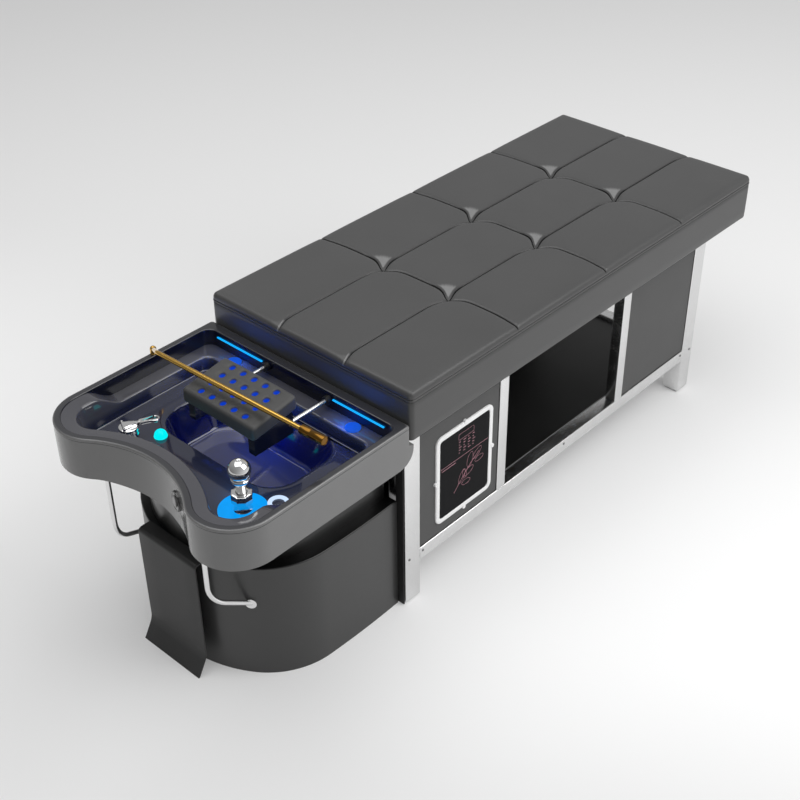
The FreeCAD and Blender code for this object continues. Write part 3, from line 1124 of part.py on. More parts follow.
formed("foot_plate", Part.Face(Part.Wire(edges)).extrude(Vector(0, v("plate_width"), 0)))

brace_x = v("head_x") - v("brace_from_head")
brace_top = v("ledge_z") - wall
foot_x = v("head_x") - v("brace_foot_from_head")
rosettes = []
braces = []
for side, sign in SIDES:
    top_point = Vector(brace_x, sign * v("brace_offset"), brace_top)
    corner_point = Vector(brace_x, sign * v("brace_offset"), v("brace_bend_z"))
    foot_point = Vector(foot_x, sign * v("brace_foot_offset"), v("brace_foot_z"))
    run = (foot_point - corner_point).normalize()
    inner_end = foot_point + run * 2 * v("rosette_radius")
    braces.append(bent_rod([top_point, corner_point, inner_end], v("brace_radius"), [v("brace_bend")])
                  .cut(skirt_solid))
    inside_run = Part.makeLine(corner_point, inner_end + run * 2 * v("rosette_radius")).common(skirt_solid)
    entry = min((vertex.Point for vertex in inside_run.Vertexes),
                key=lambda point: point.distanceToPoint(corner_point))
    nearest = min(skirt_solid.Faces, key=lambda face: face.distToShape(Part.Vertex(entry))[0])
    outward = nearest.normalAt(*nearest.Surface.parameter(entry))
    disc = Part.makeCylinder(v("rosette_radius"), 2 * v("rosette_height"),
                             entry + outward * v("rosette_height"), outward * -1)
    rosettes.append(disc.cut(skirt_solid).cut(braces[-1]))
formed("basin_braces", Part.makeCompound(braces))
formed("brace_rosettes", Part.makeCompound(rosettes))

# Brackets that hang the basin on the head legs
brackets = []
bracket_depth = v("head_leg_setback") - v("basin_tuck") - gap
for side, sign in SIDES:
    middle = sign * (v("frame_half") - v("leg_size") / 2)
    brackets.append(Part.makeBox(bracket_depth, v("bracket_width"), v("bracket_height"),
                                 Vector(v("frame_head_x") - bracket_depth, middle - v("bracket_width") / 2,
                                        v("deck_height") - v("basin_gap") - v("bracket_height"))))
formed("basin_brackets", Part.makeCompound(brackets))

# Push button on the notch face, with its ring, stem and switch body
ring_front = button_face - button_in * v("button_ring_proud")
base_front = button_face - button_in * v("button_ring_base")
button_back = base_front - button_in * (v("button_travel") + gap)
button_ring = Part.makeCylinder(v("button_ring_radius"), v("button_ring_proud") + wall, ring_front, button_in)
ring_hole = Part.makeCylinder(v("button_radius") + gap, v("button_ring_proud") - v("button_ring_base") + over,
                              ring_front - button_in * over, button_in)
apron_solid = basin_prism(0, rear_x, wall, apron_z, v("rim_height"))
formed("button_ring", button_ring.cut(ring_hole).cut(apron_solid))
button_length = v("button_proud") + v("button_ring_proud") - v("button_ring_base") - v("button_travel") - gap
button = Part.makeCylinder(v("button_radius"), button_length, button_back - button_in * button_length, button_in)
formed("push_button", button)

# Check every object, then write one file for each sub-part
doc.recompute()
for piece in doc.Objects:
    if "Invalid" in piece.State or "Error" in piece.State:
        raise ValueError("%s failed to rebuild" % piece.Label)
os.makedirs("parts", exist_ok=True)
for piece in PARTS:
    if piece.Shape.isNull() or not piece.Shape.isValid():
        raise ValueError("%s has no valid shape" % piece.Label)
    piece.Shape.exportStep("parts/%s.step" % piece.Label)
print(len(PARTS), "sub-parts written")
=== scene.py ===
import math
import bmesh
import bpy
import numpy as np
from mathutils import Matrix, Vector


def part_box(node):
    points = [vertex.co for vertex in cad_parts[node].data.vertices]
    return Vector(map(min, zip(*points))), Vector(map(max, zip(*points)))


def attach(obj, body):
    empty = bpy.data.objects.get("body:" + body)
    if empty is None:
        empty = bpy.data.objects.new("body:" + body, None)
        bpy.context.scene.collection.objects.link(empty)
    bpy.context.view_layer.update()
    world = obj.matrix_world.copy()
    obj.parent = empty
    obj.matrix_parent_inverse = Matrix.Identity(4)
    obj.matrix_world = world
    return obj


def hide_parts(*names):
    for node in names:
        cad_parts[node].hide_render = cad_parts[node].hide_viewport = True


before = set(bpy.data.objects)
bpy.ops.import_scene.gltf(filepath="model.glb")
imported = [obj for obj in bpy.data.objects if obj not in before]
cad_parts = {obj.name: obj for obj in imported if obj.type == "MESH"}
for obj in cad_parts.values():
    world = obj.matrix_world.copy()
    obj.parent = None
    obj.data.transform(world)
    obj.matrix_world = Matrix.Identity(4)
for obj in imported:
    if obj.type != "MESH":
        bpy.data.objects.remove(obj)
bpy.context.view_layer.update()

# Studio: a pale floor, soft light from above and from the control panel side, and a camera that looks
# down over the basin towards the foot of the bed, as the photograph does.
scene = bpy.context.scene
scene.view_settings.view_transform = "Standard"


def tone(red, green=None, blue=None):
    """A colour given as it shows on a screen, 0 to 255, as the linear light that a shader wants."""
    shown = np.array([red, red if green is None else green, red if blue is None else blue]) / 255
    light = np.where(shown <= 0.04045, shown / 12.92, ((shown + 0.055) / 1.055) ** 2.4)
    return (*light.tolist(), 1.0)


def plug(tree, node, inputs):
    """A node's sockets, each joined to another socket or set to a value."""
    for socket, value in inputs.items():
        if isinstance(value, bpy.types.NodeSocket):
            tree.links.new(value, node.inputs[socket])
        else:
            node.inputs[socket].default_value = value


def node_in(tree, kind, inputs=None, **settings):
    """One node of a shader tree, its settings made and its sockets set or joined."""
    node = tree.nodes.new(kind)
    for key, value in settings.items():
        setattr(node, key, value)
    plug(tree, node, inputs or {})
    return node


def remap(tree, value, low, high, to_low=0.0, to_high=1.0, smooth=False):
    """A value carried from one range to another and held in it, straight or with soft ends."""
    return node_in(tree, "ShaderNodeMapRange", {0: value, 1: low, 2: high, 3: to_low, 4: to_high},
                   interpolation_type="SMOOTHSTEP" if smooth else "LINEAR").outputs[0]


def maths(tree, operation, first, second, **settings):
    """The sum, product or other operation of two values."""
    return node_in(tree, "ShaderNodeMath", {0: first, 1: second}, operation=operation, **settings).outputs[0]


def blend(tree, share, first, second, blend_type="MIX"):
    """Two colours mixed: the first at share 0, the second at 1."""
    return node_in(tree, "ShaderNodeMix", {0: share, 6: first, 7: second}, data_type="RGBA",
                   blend_type=blend_type).outputs[2]


def object_place(tree):
    """The object coordinates, in metres, that every pattern lies on."""
    return node_in(tree, "ShaderNodeTexCoord").outputs["Object"]


def axes(tree, vector):
    """A vector's x, y and z."""
    return node_in(tree, "ShaderNodeSeparateXYZ", {0: vector}).outputs


camera_data = bpy.data.cameras.new("camera")
camera_data.sensor_fit = "HORIZONTAL"
camera_data.sensor_width = 36.0
camera_data.lens = 60.36
camera_data.clip_end = 60.0
camera = bpy.data.objects.new("camera", camera_data)
scene.collection.objects.link(camera)
camera_place = (-2.34805, -2.04294, 2.48719)
looking = Vector((0.59813, 0.55242, -0.58058)).normalized()
level = looking.cross(Vector((0, 0, 1))).normalized()
camera_lean = math.asin(-0.0111)
camera_right = level * math.cos(camera_lean) + level.cross(looking) * math.sin(camera_lean)
camera_axes = Matrix((camera_right, camera_right.cross(looking), -looking)).transposed()
camera.matrix_world = Matrix.Translation(camera_place) @ camera_axes.to_4x4()
scene.camera = camera

world = bpy.data.worlds.new("studio")
scene.world = world
world.use_nodes = True
sky = world.node_tree
sky.nodes.clear()
way = axes(sky, node_in(sky, "ShaderNodeTexCoord").outputs["Generated"])
side_light = blend(sky, remap(sky, way["Y"], 0.7, -0.9), tone(140), tone(216))
room_light = blend(sky, remap(sky, way["Z"], -0.1, 0.9), side_light, tone(176))
lit = node_in(sky, "ShaderNodeBackground", {0: room_light, 1: remap(sky, way["X"], -1.0, 0.3, 0.55, 1.15)})
seen = node_in(sky, "ShaderNodeBackground", {0: tone(238), 1: 1.0})
rays = node_in(sky, "ShaderNodeLightPath").outputs["Is Camera Ray"]
either = node_in(sky, "ShaderNodeMixShader", {0: rays, 1: lit.outputs[0], 2: seen.outputs[0]})
node_in(sky, "ShaderNodeOutputWorld", {0: either.outputs[0]})


def new_lamp(name, kind, place, watts, colour=(1, 1, 1)):
    """A lamp of one kind at a place in metres."""
    data = bpy.data.lights.new(name, kind)
    data.energy = watts
    data.color = colour
    lamp = bpy.data.objects.new(name, data)
    lamp.location = place
    scene.collection.objects.link(lamp)
    return lamp


for name, place, target, size, watts in (("key_light", (1.6, -3.6, 4.4), (0.1, 0.0, 0.4), 3.8, 165),
                                         ("top_light", (-0.6, 0.6, 4.6), (0.0, 0.0, 0.4), 4.0, 105)):
    softbox = new_lamp(name, "AREA", place, watts)
    softbox.data.size = size
    softbox.rotation_euler = (Vector(target) - Vector(place)).to_track_quat("-Z", "Y").to_euler()

head_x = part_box("mattress_cushion")[0].x * 1000


def surface(name, grids, angle=32, marks=None):
    """Grids of points, each rows by columns by x, y, z in millimetres from the mattress head face, become one
    mesh: neighbouring points make four-sided faces, doubles are merged and the faces are turned outward. Marks
    are the values of the seam attribute that the finishes read, one for each point."""
    points, faces, start = [], [], 0
    for grid in grids:
        rows, columns = grid.shape[:2]
        corner = ((np.arange(rows - 1) * columns)[:, None] + np.arange(columns - 1)).ravel() + start
        faces.append(np.stack([corner, corner + 1, corner + columns + 1, corner + columns], axis=1))
        points.append(grid.reshape(-1, 3))
        start += rows * columns
    points = np.concatenate(points)
    mesh = bpy.data.meshes.new(name)
    mesh.from_pydata(((points + (head_x, 0, 0)) / 1000).tolist(), [], np.concatenate(faces).tolist())
    if marks is not None:
        mark = mesh.attributes.new("seam", "FLOAT", "POINT")
        mark.data.foreach_set("value", np.concatenate([np.ravel(m) for m in marks]).astype(np.float32))
    body = bmesh.new()
    body.from_mesh(mesh)
    bmesh.ops.remove_doubles(body, verts=body.verts, dist=2e-6)
    bmesh.ops.recalc_face_normals(body, faces=body.faces)
    body.to_mesh(mesh)
    body.free()
    mesh.shade_smooth()
    mesh.set_sharp_from_angle(angle=math.radians(angle))
    piece = bpy.data.objects.new(name, mesh)
    scene.collection.objects.link(piece)
    return piece


floor_across = np.linspace(-9000, 9000, 61)
floor_grid = np.stack(np.broadcast_arrays(floor_across[:, None], floor_across[None, :], -0.4), axis=-1)
floor = surface("studio_floor", [floor_grid])
if floor.data.polygons[0].normal.z < 0:
    floor.data.flip_normals()
floor_paint = bpy.data.materials.new("pale_floor")
floor_paint.use_nodes = True
tree = floor_paint.node_tree
tree.nodes.clear()
spot = axes(tree, object_place(tree))
# The floor's colour is a little lighter where 0.55 x minus y is larger, painted light falling off across it. An added
# glow, seen by camera, glossy and transmission rays, paints a band of light along the view's depth, strongest where x
# plus 0.55 y lies between minus 0.6 and minus 0.5 m.
view_slope = 0.55
across_view = maths(tree, "SUBTRACT", maths(tree, "MULTIPLY", spot["X"], view_slope), spot["Y"])
depth_in = maths(tree, "ADD", maths(tree, "MULTIPLY", spot["Y"], view_slope), spot["X"])
floor_shade = blend(tree, remap(tree, across_view, -1.6, 1.8, smooth=True), tone(216), tone(222))
floor_grain = node_in(tree, "ShaderNodeTexNoise", {"Scale": 3.0, "Detail": 2.0}).outputs[0]
matt = node_in(tree, "ShaderNodeBsdfDiffuse", {0: floor_shade, 1: remap(tree, floor_grain, 0.0, 1.0, 0.3, 0.5)})
falling = remap(tree, depth_in, -0.5, 1.5, 0.24, 0.1, smooth=True)
rising = remap(tree, depth_in, -1.5, -0.6, 0.08, 0.24, smooth=True)
paths = node_in(tree, "ShaderNodeLightPath").outputs
shown = maths(tree, "ADD", paths["Is Camera Ray"], paths["Is Glossy Ray"], use_clamp=True)
shown = maths(tree, "ADD", shown, paths["Is Transmission Ray"], use_clamp=True)
shown = maths(tree, "MULTIPLY", shown, maths(tree, "MINIMUM", falling, rising))
glow = node_in(tree, "ShaderNodeEmission", {0: (1.0, 1.0, 1.0, 1.0), 1: shown})
added = node_in(tree, "ShaderNodeAddShader", {0: matt.outputs[0], 1: glow.outputs[0]})
node_in(tree, "ShaderNodeOutputMaterial", {0: added.outputs[0]})
floor.data.materials.append(floor_paint)

# Frame: square stainless tube, welded into four legs, side and end rails, uprights and two cross rails under
# the mattress, then brushed and polished. The tube has small rounded long edges.


def new_finish(name):
    """A new material, its node tree and its shader."""
    material = bpy.data.materials.new(name)
    material.use_nodes = True
    return material, material.node_tree, material.node_tree.nodes["Principled BSDF"]


def noise(tree, place, scale, detail, **more):
    """A noise's value at a place."""
    return node_in(tree, "ShaderNodeTexNoise", {"Vector": place, "Scale": scale, "Detail": detail, **more}).outputs[0]


def scaled(colour, factor):
    """A colour times a factor, no lighter than white."""
    return tuple(min(1.0, channel * factor) for channel in colour[:3]) + (1.0,)


def paint(name, colour, rough, metal=0.0, coat=0.0, mottle=0.06, grain=900.0, depth=0.05, stretch=(1, 1, 1),
          rough_swing=0.05, glow=None, specular=0.5):
    """A finish on object coordinates: a slow noise mottles the colour and the roughness, and a fine noise,
    which stretch draws out into brush lines, raises the bump."""
    material, tree, shader = new_finish(name)
    place = object_place(tree)
    slow = noise(tree, place, 7.0, 4.0, Roughness=0.6)
    mottled = blend(tree, remap(tree, slow, 0.3, 0.7), scaled(colour, 1 - mottle), scaled(colour, 1 + mottle))
    drawn = node_in(tree, "ShaderNodeMapping", {"Vector": place, "Scale": stretch}).outputs[0]
    fine = noise(tree, drawn, grain, 3.0)
    worn = remap(tree, maths(tree, "MULTIPLY", fine, slow), 0.12, 0.4, max(0.02, rough - rough_swing),
                 rough + rough_swing)
    raised = node_in(tree, "ShaderNodeBump", {"Strength": depth, "Distance": 0.0004, "Height": fine}).outputs[0]
    plug(tree, shader, {"Base Color": mottled, "Roughness": worn, "Normal": raised, "Metallic": metal,
                        "Coat Weight": coat, "Coat Roughness": 0.06, "Specular IOR Level": specular})
    if glow:
        plug(tree, shader, {"Emission Color": glow[0], "Emission Strength": glow[1]})
    return material


def build(name, grids, body, material, *nodes, slot=None, **options):
    """A piece made of grids gets its finish, rides on its body and stands for its CAD nodes. The slot is not used."""
    piece = surface(name, grids, **options)
    piece.data.materials.append(material)
    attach(piece, body)
    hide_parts(*nodes)
    return piece


def dress(material, *names):
    """CAD nodes that are already the right shape get this finish."""
    for name in names:
        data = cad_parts[name].data
        data.materials.clear()
        data.materials.append(material)


def node_box(name):
    """A CAD node's low and high corner in millimetres from the mattress head face."""
    return [np.array(corner) * 1000 - (head_x, 0, 0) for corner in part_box(name)]


def corner_turns(steps):
    """The angles round a rounded rectangle's four corners, and the sides of the middle that each lies on."""
    turn = np.radians((np.arange(4) * 90)[:, None] + np.linspace(0, 90, steps)).ravel()
    sides = np.repeat([1, -1, -1, 1], steps), np.repeat([1, 1, -1, -1], steps)
    return [np.append(part, part[0]) for part in (turn, *sides)]


def bar(low, high, along, corner=2.5, edge=0.4, steps=5):
    """A rounded rectangle carried along one axis, drawn in by a quarter circle at each end and closed there:
    every ring point is its corner's centre plus the corner radius less the inset."""
    low, high = np.asarray(low, float), np.asarray(high, float)
    middle, half = (low + high) / 2, (high - low) / 2
    turn, *sides = corner_turns(steps)
    bend = np.linspace(0, np.pi / 2, 4)
    inset, reach = edge * (1 - np.sin(bend)), edge * (1 - np.cos(bend))
    inset = np.concatenate([inset, inset[::-1]])[:, None]
    grid = np.zeros((len(inset), len(turn), 3))
    for axis, side, wave in zip([axis for axis in range(3) if axis != along], sides, (np.cos(turn), np.sin(turn))):
        grid[..., axis] = middle[axis] + side * (half[axis] - corner) + (corner - inset) * wave
    grid[..., along] = np.concatenate([low[along] + reach, (high[along] - reach)[::-1]])[:, None]
    ends = np.broadcast_to(middle, (2, 1, len(turn), 3)).copy()
    ends[0][..., along], ends[1][..., along] = low[along], high[along]
    return np.concatenate([ends[0], grid, ends[1]])


def pair(name, along, width):
    """The two like bars of a node, each as wide as said across the node's longer free side."""
    low, high = node_box(name)
    across = 1 if along == 0 else 0
    near_high, far_low = high.copy(), low.copy()
    near_high[across] = low[across] + width
    far_low[across] = high[across] - width
    return [bar(low, near_high, along), bar(far_low, high, along)]


polished_steel = paint("polished_steel", tone(226), 0.24, metal=1.0, mottle=0.03, grain=260.0, depth=0.04,
                       stretch=(1, 1, 6), rough_swing=0.06)
rail_steel = paint("brushed_rail_steel", tone(226), 0.25, metal=1.0, mottle=0.03, grain=260.0, depth=0.04,
                   stretch=(0.15, 6, 6), rough_swing=0.06)
rail_width, upright_width = 40, 35
for leg in ("leg_head_left", "leg_head_right", "leg_foot_left", "leg_foot_right"):
    build(leg + "_tube", [bar(*node_box(leg), 2)], "bed", polished_steel, leg)
for rails, along in (("lower_side_rails", 0), ("upper_side_rails", 0), ("lower_end_rails", 1), ("upper_end_rails", 1),
                     ("deck_cross_rails", 1)):
    build(rails + "_tubes", pair(rails, along, rail_width), "bed", rail_steel, rails, slot="polished_steel")
upright_low, upright_high = node_box("frame_uprights")
upright_grids = [bar((x, y, upright_low[2]), (x + upright_width, y + upright_width, upright_high[2]), 2)
                 for x in (upright_low[0], upright_high[0] - upright_width)
                 for y in (upright_low[1], upright_high[1] - upright_width)]
build("frame_upright_tubes", upright_grids, "bed", polished_steel, "frame_uprights")

# Leg pads: moulded black rubber plates pressed into the leg ends, a little smaller than the tube.
pad_width, pad_height = 50, 4
pad_rubber = paint("foot_rubber", tone(28), 0.75, mottle=0.15, grain=1400.0, depth=0.2)
pad_grids = [bar((x, y, 0), (x + pad_width, y + pad_width, pad_height), 2, corner=5, edge=1.0)
             for x in (21.0, 1316.0) for y in (-309.0, 259.0)]
build("leg_pad_plates", pad_grids, "bed", pad_rubber, "leg_pads")

# Frame screws: pan head screws with a sunk middle, low on the legs and in the middle of the lower rails.


def turned(profile, foot, axis=(0, 0, 1), sides=40):
    """A profile of radius and height turned round an axis: foot + height * axis + radius * (cosine, sine)."""
    profile = np.asarray(profile, float)
    axis = np.asarray(axis, float) / np.linalg.norm(axis)
    side = np.cross(axis, (0.0, 1.0, 0.0) if abs(axis[1]) < 0.9 else (1.0, 0.0, 0.0))
    side /= np.linalg.norm(side)
    other = np.cross(axis, side)
    angle = np.linspace(0, 2 * np.pi, sides + 1)
    angle[-1] = 0.0
    ring = np.cos(angle)[:, None] * side + np.sin(angle)[:, None] * other
    return np.asarray(foot, float) + profile[:, 1, None, None] * axis + profile[:, 0, None, None] * ring


screw_face, screw_height = 312, 146.2
screw_steel = paint("screw_steel", tone(135), 0.3, metal=1.0, grain=600.0)
screw_profile = [(0, -0.4), (4.0, -0.4), (4.0, 0.4), (3.6, 1.1), (2.7, 1.55), (1.5, 1.6), (1.3, 0.9), (0, 0.8)]
screw_grids = [turned(screw_profile, (x, screw_face * side, screw_height), (0, side, 0), 16)
               for side in (-1, 1) for x in (32.6, 84.4, 693.5, 1302.6, 1354.4)]
build("frame_screw_heads", screw_grids, "bed", screw_steel, "frame_screws")

# Side panels: dark grey lacquered sheet set into the head and foot bays with a black shadow gap all round.
# Behind them a black melamine shelf with grey edging lies on steel angles, and a panel closes the equipment bay.
panel_lacquer = paint("panel_grey", tone(78), 0.5, mottle=0.02, grain=1500.0, depth=0.05, specular=0.35)
dress(panel_lacquer, "side_panel_head_left", "side_panel_head_right", "side_panel_foot_left", "side_panel_foot_right")
shelf_melamine = paint("shelf_black", tone(20), 0.35, mottle=0.1, grain=700.0, depth=0.05, specular=0.4)
dress(shelf_melamine, "shelf_board", "bay_partition")
dress(paint("trim_grey", tone(120), 0.45, mottle=0.05, grain=900.0), "shelf_edge_trims")
bracket_steel = paint("bracket_steel", tone(96), 0.4, metal=0.7, grain=500.0)
dress(bracket_steel, "shelf_ledgers", "basin_brackets")

# Control panel: a white moulded bezel with a round clip in the middle of each side, a black touch glass with
# fine printed lines, and a steel box behind.


def rectangle_ring(middle_x, middle_z, half_x, half_z, radius, steps=9):
    """The outline of a rounded rectangle in the panel's plane: corner centres plus the radius."""
    turn, side_x, side_z = corner_turns(steps)
    return (middle_x + side_x * (half_x - radius) + radius * np.cos(turn),
            middle_z + side_z * (half_z - radius) + radius * np.sin(turn))


panel_x, panel_z = 246, 333
bezel_outer = np.array(rectangle_ring(panel_x, panel_z, 112, 140, 22))
bezel_inner = np.array(rectangle_ring(panel_x, panel_z, 97.9, 125.9, 9))
bezel_profile = np.array([(0, -309), (0, -312.2), (0.04, -313.2), (0.14, -314), (0.5, -314.15), (0.84, -314),
                          (0.95, -313.6), (1, -312.9), (1, -309.6), (0.6, -309), (0, -309)])
bezel_share, bezel_y = bezel_profile[:, :1], bezel_profile[:, 1:]
bezel_x, bezel_z = (outer * (1 - bezel_share) + inner * bezel_share for outer, inner in zip(bezel_outer, bezel_inner))
bezel_grid = np.stack(np.broadcast_arrays(bezel_x, bezel_y, bezel_z), axis=-1)
bezel_white = paint("bezel_white", tone(250), 0.3, mottle=0.01, grain=1200.0, depth=0.03, coat=0.3)
build("control_bezel_frame", [bezel_grid], "bed", bezel_white, "control_bezel", angle=45)
clip_profile = [(0, 0), (6, 0), (6, 5.6), (5.4, 6.6), (4.4, 7.0), (3.6, 7.0), (3.2, 6.4), (1.0, 6.2), (0, 6.2)]
clip_grids = [turned(clip_profile, (clip_x, -309, clip_z), (0, -1, 0), 28)
              for clip_x, clip_z in ((134, 333), (358, 333), (246, 193), (246, 473))]
build("bezel_clip_buttons", clip_grids, "bed", bezel_white, "bezel_clips")
touch_glass = paint("touch_glass", tone(5, 5, 8), 0.12, specular=0.06, mottle=0.2, grain=300.0, depth=0.0,
                    rough_swing=0.03)
dress(touch_glass, "control_glass")
dress(paint("case_black", tone(34), 0.5, mottle=0.08), "control_box")


def piped(path, radius, facing, sides=20):
    """A round tube: at each point of the path a ring square to its direction, measured from the facing vector;
    the ends are closed on the path's own end points."""
    path = np.asarray(path, float)
    heading = np.gradient(path, axis=0)
    heading /= np.linalg.norm(heading, axis=1)[:, None]
    side = np.cross(heading, np.asarray(facing, float))
    side /= np.linalg.norm(side, axis=1)[:, None]
    lift = np.cross(side, heading)
    angle = np.linspace(0, 2 * np.pi, sides + 1)
    angle[-1] = 0.0
    ring = np.cos(angle)[:, None] * side[:, None, :] + np.sin(angle)[:, None] * lift[:, None, :]
    wall = path[:, None, :] + np.broadcast_to(radius, len(path))[:, None, None] * ring
    ends = [np.broadcast_to(point, (1, sides + 1, 3)) for point in (path[0], path[-1])]
    return np.concatenate([ends[0], wall, ends[1]])


def printed(x, z, width=0.9):
    """A printed line on the glass: a flat four-sided tube along x and z just in front of it."""
    return piped(np.stack([x, np.full(len(x), -312.45), z], axis=1), width / 2, (0, 1, 0), 4)


mark_grids = []
for mark_column in range(4):
    for mark_row in range(5):
        dash_x = 222 + 18 * mark_column + np.array([0, 4 + 3 * ((mark_column + mark_row) % 3)])
        mark_grids.append(printed(dash_x, np.full(2, 384 + 8.5 * mark_row), 1.6))
mark_grids += [printed(*rectangle_ring(251, 434, 30, 9, 4, 5), 0.8), printed([151, 341], [368, 368], 1.0),
               printed([156, 210], [360, 360], 1.4)]
sprig = np.linspace(0, 1, 60)
for leaf_x, leaf_z, leaf_turn, leaf_length in ((226, 283, 60, 42), (246, 298, 20, 38), (262, 316, 75, 46),
                                               (280, 334, 35, 40), (236, 276, -5, 34), (288, 322, 5, 34),
                                               (252, 290, 110, 30)):
    swell = 0.24 * leaf_length * np.sin(2 * np.pi * sprig)
    along_leaf = leaf_length * (1 - np.cos(2 * np.pi * sprig)) / 2
    lean_turn = math.radians(leaf_turn)
    mark_grids.append(printed(leaf_x + along_leaf * math.cos(lean_turn) - swell * math.sin(lean_turn),
                              leaf_z + along_leaf * math.sin(lean_turn) + swell * math.cos(lean_turn), 0.8))
mark_grids.append(printed(205 + 100 * sprig, 262 + 84 * sprig + 8 * np.sin(3 * sprig), 1.0))
printed_lines = paint("printed_lines", tone(176, 128, 138), 0.5, mottle=0.1, glow=(tone(150, 100, 112), 0.5))
panel_marks = surface("control_panel_marks", mark_grids)
panel_marks.data.materials.append(printed_lines)
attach(panel_marks, "bed")

# Equipment bay: a stainless hot water tank with domed ends, a small circulation pump and the supply pipe to
# the mixer tap. All of it stands on the shelf behind the control panel.
tank_steel = paint("tank_steel", tone(196), 0.32, metal=1.0, grain=220.0, stretch=(1, 1, 0.1), depth=0.06)
dress(tank_steel, "heater_tank")
dress(paint("pump_body", tone(52), 0.45, mottle=0.1), "circulation_pump")
dress(paint("pipe_white", tone(226), 0.4, mottle=0.03), "supply_pipe")

# Mattress: foam on a plywood board under dark grey leatherette. Sewn seams divide the top into twelve pads;
# each crossing is pulled down, and the far pad's corner folds into a small sunken facet there. A welt runs
# round under the rounded top edge.
cross_seams = np.array([409.0, 785.0, 1149.0])
cross_dips = np.array([24.0, 35.0, 27.0])
long_seams = np.array([-118.0, 111.0])
mattress_length, mattress_half = 1520.0, 350.0
seam_height, pad_crown, edge_radius, upright_radius = 693.0, 9.0, 10.0, 14.0
mattress_low = 562.0


def graded(stops, counts, squeeze):
    """Grid lines that crowd at every stop: a hyperbolic tangent of even steps between each two stops."""
    lines = [np.array([stops[0]])]
    for low, high, count in zip(stops[:-1], stops[1:], counts):
        even = np.linspace(-1, 1, count + 1)[1:]
        lines.append((low + high) / 2 + (high - low) / 2 * np.tanh(squeeze * even) / math.tanh(squeeze))
    return np.concatenate(lines)


def hat(value, stops, index):
    """One at its own stop and falling in a straight line to nothing at the next stop on each side."""
    return np.interp(value, stops, np.eye(len(stops))[index])


def bump(value, width):
    """A bell: the exponential of minus the square of value over width."""
    return np.exp(-(value / width) ** 2)


def shoulder(distance, width):
    """A quarter ellipse that rises from nothing at a seam to one at width from it."""
    return np.sqrt(1 - (1 - np.clip(distance / width, 0, 1)) ** 2)


long_stops = np.array([0.0, *cross_seams, mattress_length])
wide_stops = np.array([-mattress_half, *long_seams, mattress_half])
u = graded(long_stops, [52] * 4, 2.6)[:, None]
v = graded(wide_stops, [38] * 3, 2.4)[None, :]
side_pull = bump(np.abs(v) - mattress_half, 55)
row_pull = bump(v - long_seams[0], 32) + bump(v - long_seams[1], 32)
cross_pull = sum(bump(u - seam, 36) for seam in cross_seams) + bump(u, 34) + bump(u - mattress_length, 34)
mat_x = u + sum(hat(u, long_stops, k + 1) * -(cross_dips[k] * row_pull + 10 * side_pull) for k in range(3))
mat_y = v + sum(hat(v, wide_stops, j + 1) * -15 * cross_pull for j in range(2))
to_cross = np.min(np.abs(u[..., None] - cross_seams), axis=-1)
to_long = np.min(np.abs(v[..., None] - long_seams), axis=-1)
to_seam = np.minimum(to_cross, to_long)
inside_x, inside_y = np.minimum(u, mattress_length - u), mattress_half - np.abs(v)
corner_x, corner_y = np.maximum(upright_radius - inside_x, 0), np.maximum(upright_radius - inside_y, 0)
in_corner = (corner_x > 0) & (corner_y > 0)
to_edge = np.where(in_corner, upright_radius - np.maximum(corner_x, corner_y), np.minimum(inside_x, inside_y))
squared = np.maximum(corner_x, corner_y) / np.maximum(np.hypot(corner_x, corner_y), 1e-9)
mat_x = np.where(in_corner, mat_x + np.sign(u - mattress_length / 2) * corner_x * (squared - 1), mat_x)
mat_y = np.where(in_corner, mat_y + np.sign(v) * corner_y * (squared - 1), mat_y)
# The top's marks: above nothing they darken the sewn seams, dark thread with painted shade in their grooves, and the
# crease along each sunken facet's sides, painted shade. Below nothing they are a painted highlight on the facets and
# on short streaks beside the long seams at the head edge.
facet = np.ones_like(mat_x)
top_marks = np.broadcast_to(bump(to_seam, 4.4), mat_x.shape) * np.clip(to_edge / 3, 0, 1)
for seam in (*cross_seams, 0.0):
    for row in long_seams:
        reach_x, reach_y = u - seam, v - row
        toward = (reach_x * 0.739 + reach_y * 0.674) / (52.2 if seam else 30.0)
        in_far_pad = (reach_x >= 0) & (reach_y >= 0) & (np.maximum(reach_x, reach_y) < 90)
        facet = np.where(in_far_pad, np.minimum(facet, np.clip(toward, 0, 1)), facet)
        if seam:
            inward = np.where(in_far_pad, np.minimum(reach_x, reach_y), -50.0)
            fold = 0.75 * bump(inward - 6.0, 1.5) * (toward < 1.0)
            shine = np.clip((inward - 7.5) / 3, 0, 1)
        else:
            fold = 0.0
            shine = bump(np.where((reach_x < 40) & (reach_x >= 0), reach_y, -50.0) - 4.0, 2.0)
        shine = shine * np.clip((1 - toward) * 7, 0, 1)
        top_marks = np.where(shine > 0.02, -shine, np.where(fold > 0.02, np.maximum(top_marks, fold), top_marks))
seam_width = np.where(facet < 1, 5.0, 13.0)
fast = shoulder(to_cross, seam_width) * shoulder(to_long, seam_width)
slow = (1 - np.exp(-to_cross / 45)) * (1 - np.exp(-to_long / 45))
fullness = np.minimum(0.74 * fast + 0.26 * slow, 0.15 + 0.85 * facet)
dimple = sum(bump(np.hypot(u - seam, v - row), 17) for seam in cross_seams for row in long_seams)
rolled = edge_radius - np.sqrt(edge_radius ** 2 - (edge_radius - np.minimum(to_edge, edge_radius)) ** 2)
mat_z = (seam_height + pad_crown * fullness * shoulder(to_edge, 26) - rolled
         - 1.8 * bump(to_seam, 1.3) * np.clip(to_edge / 4, 0, 1) - 3.5 * dimple * np.clip(to_edge / 20, 0, 1))
top_grid = np.stack(np.broadcast_arrays(mat_x, mat_y, mat_z), axis=-1)


def level_ring(plan, z):
    """A plan lifted to height z."""
    return np.concatenate([plan, np.full((len(plan), 1), float(z))], axis=1)


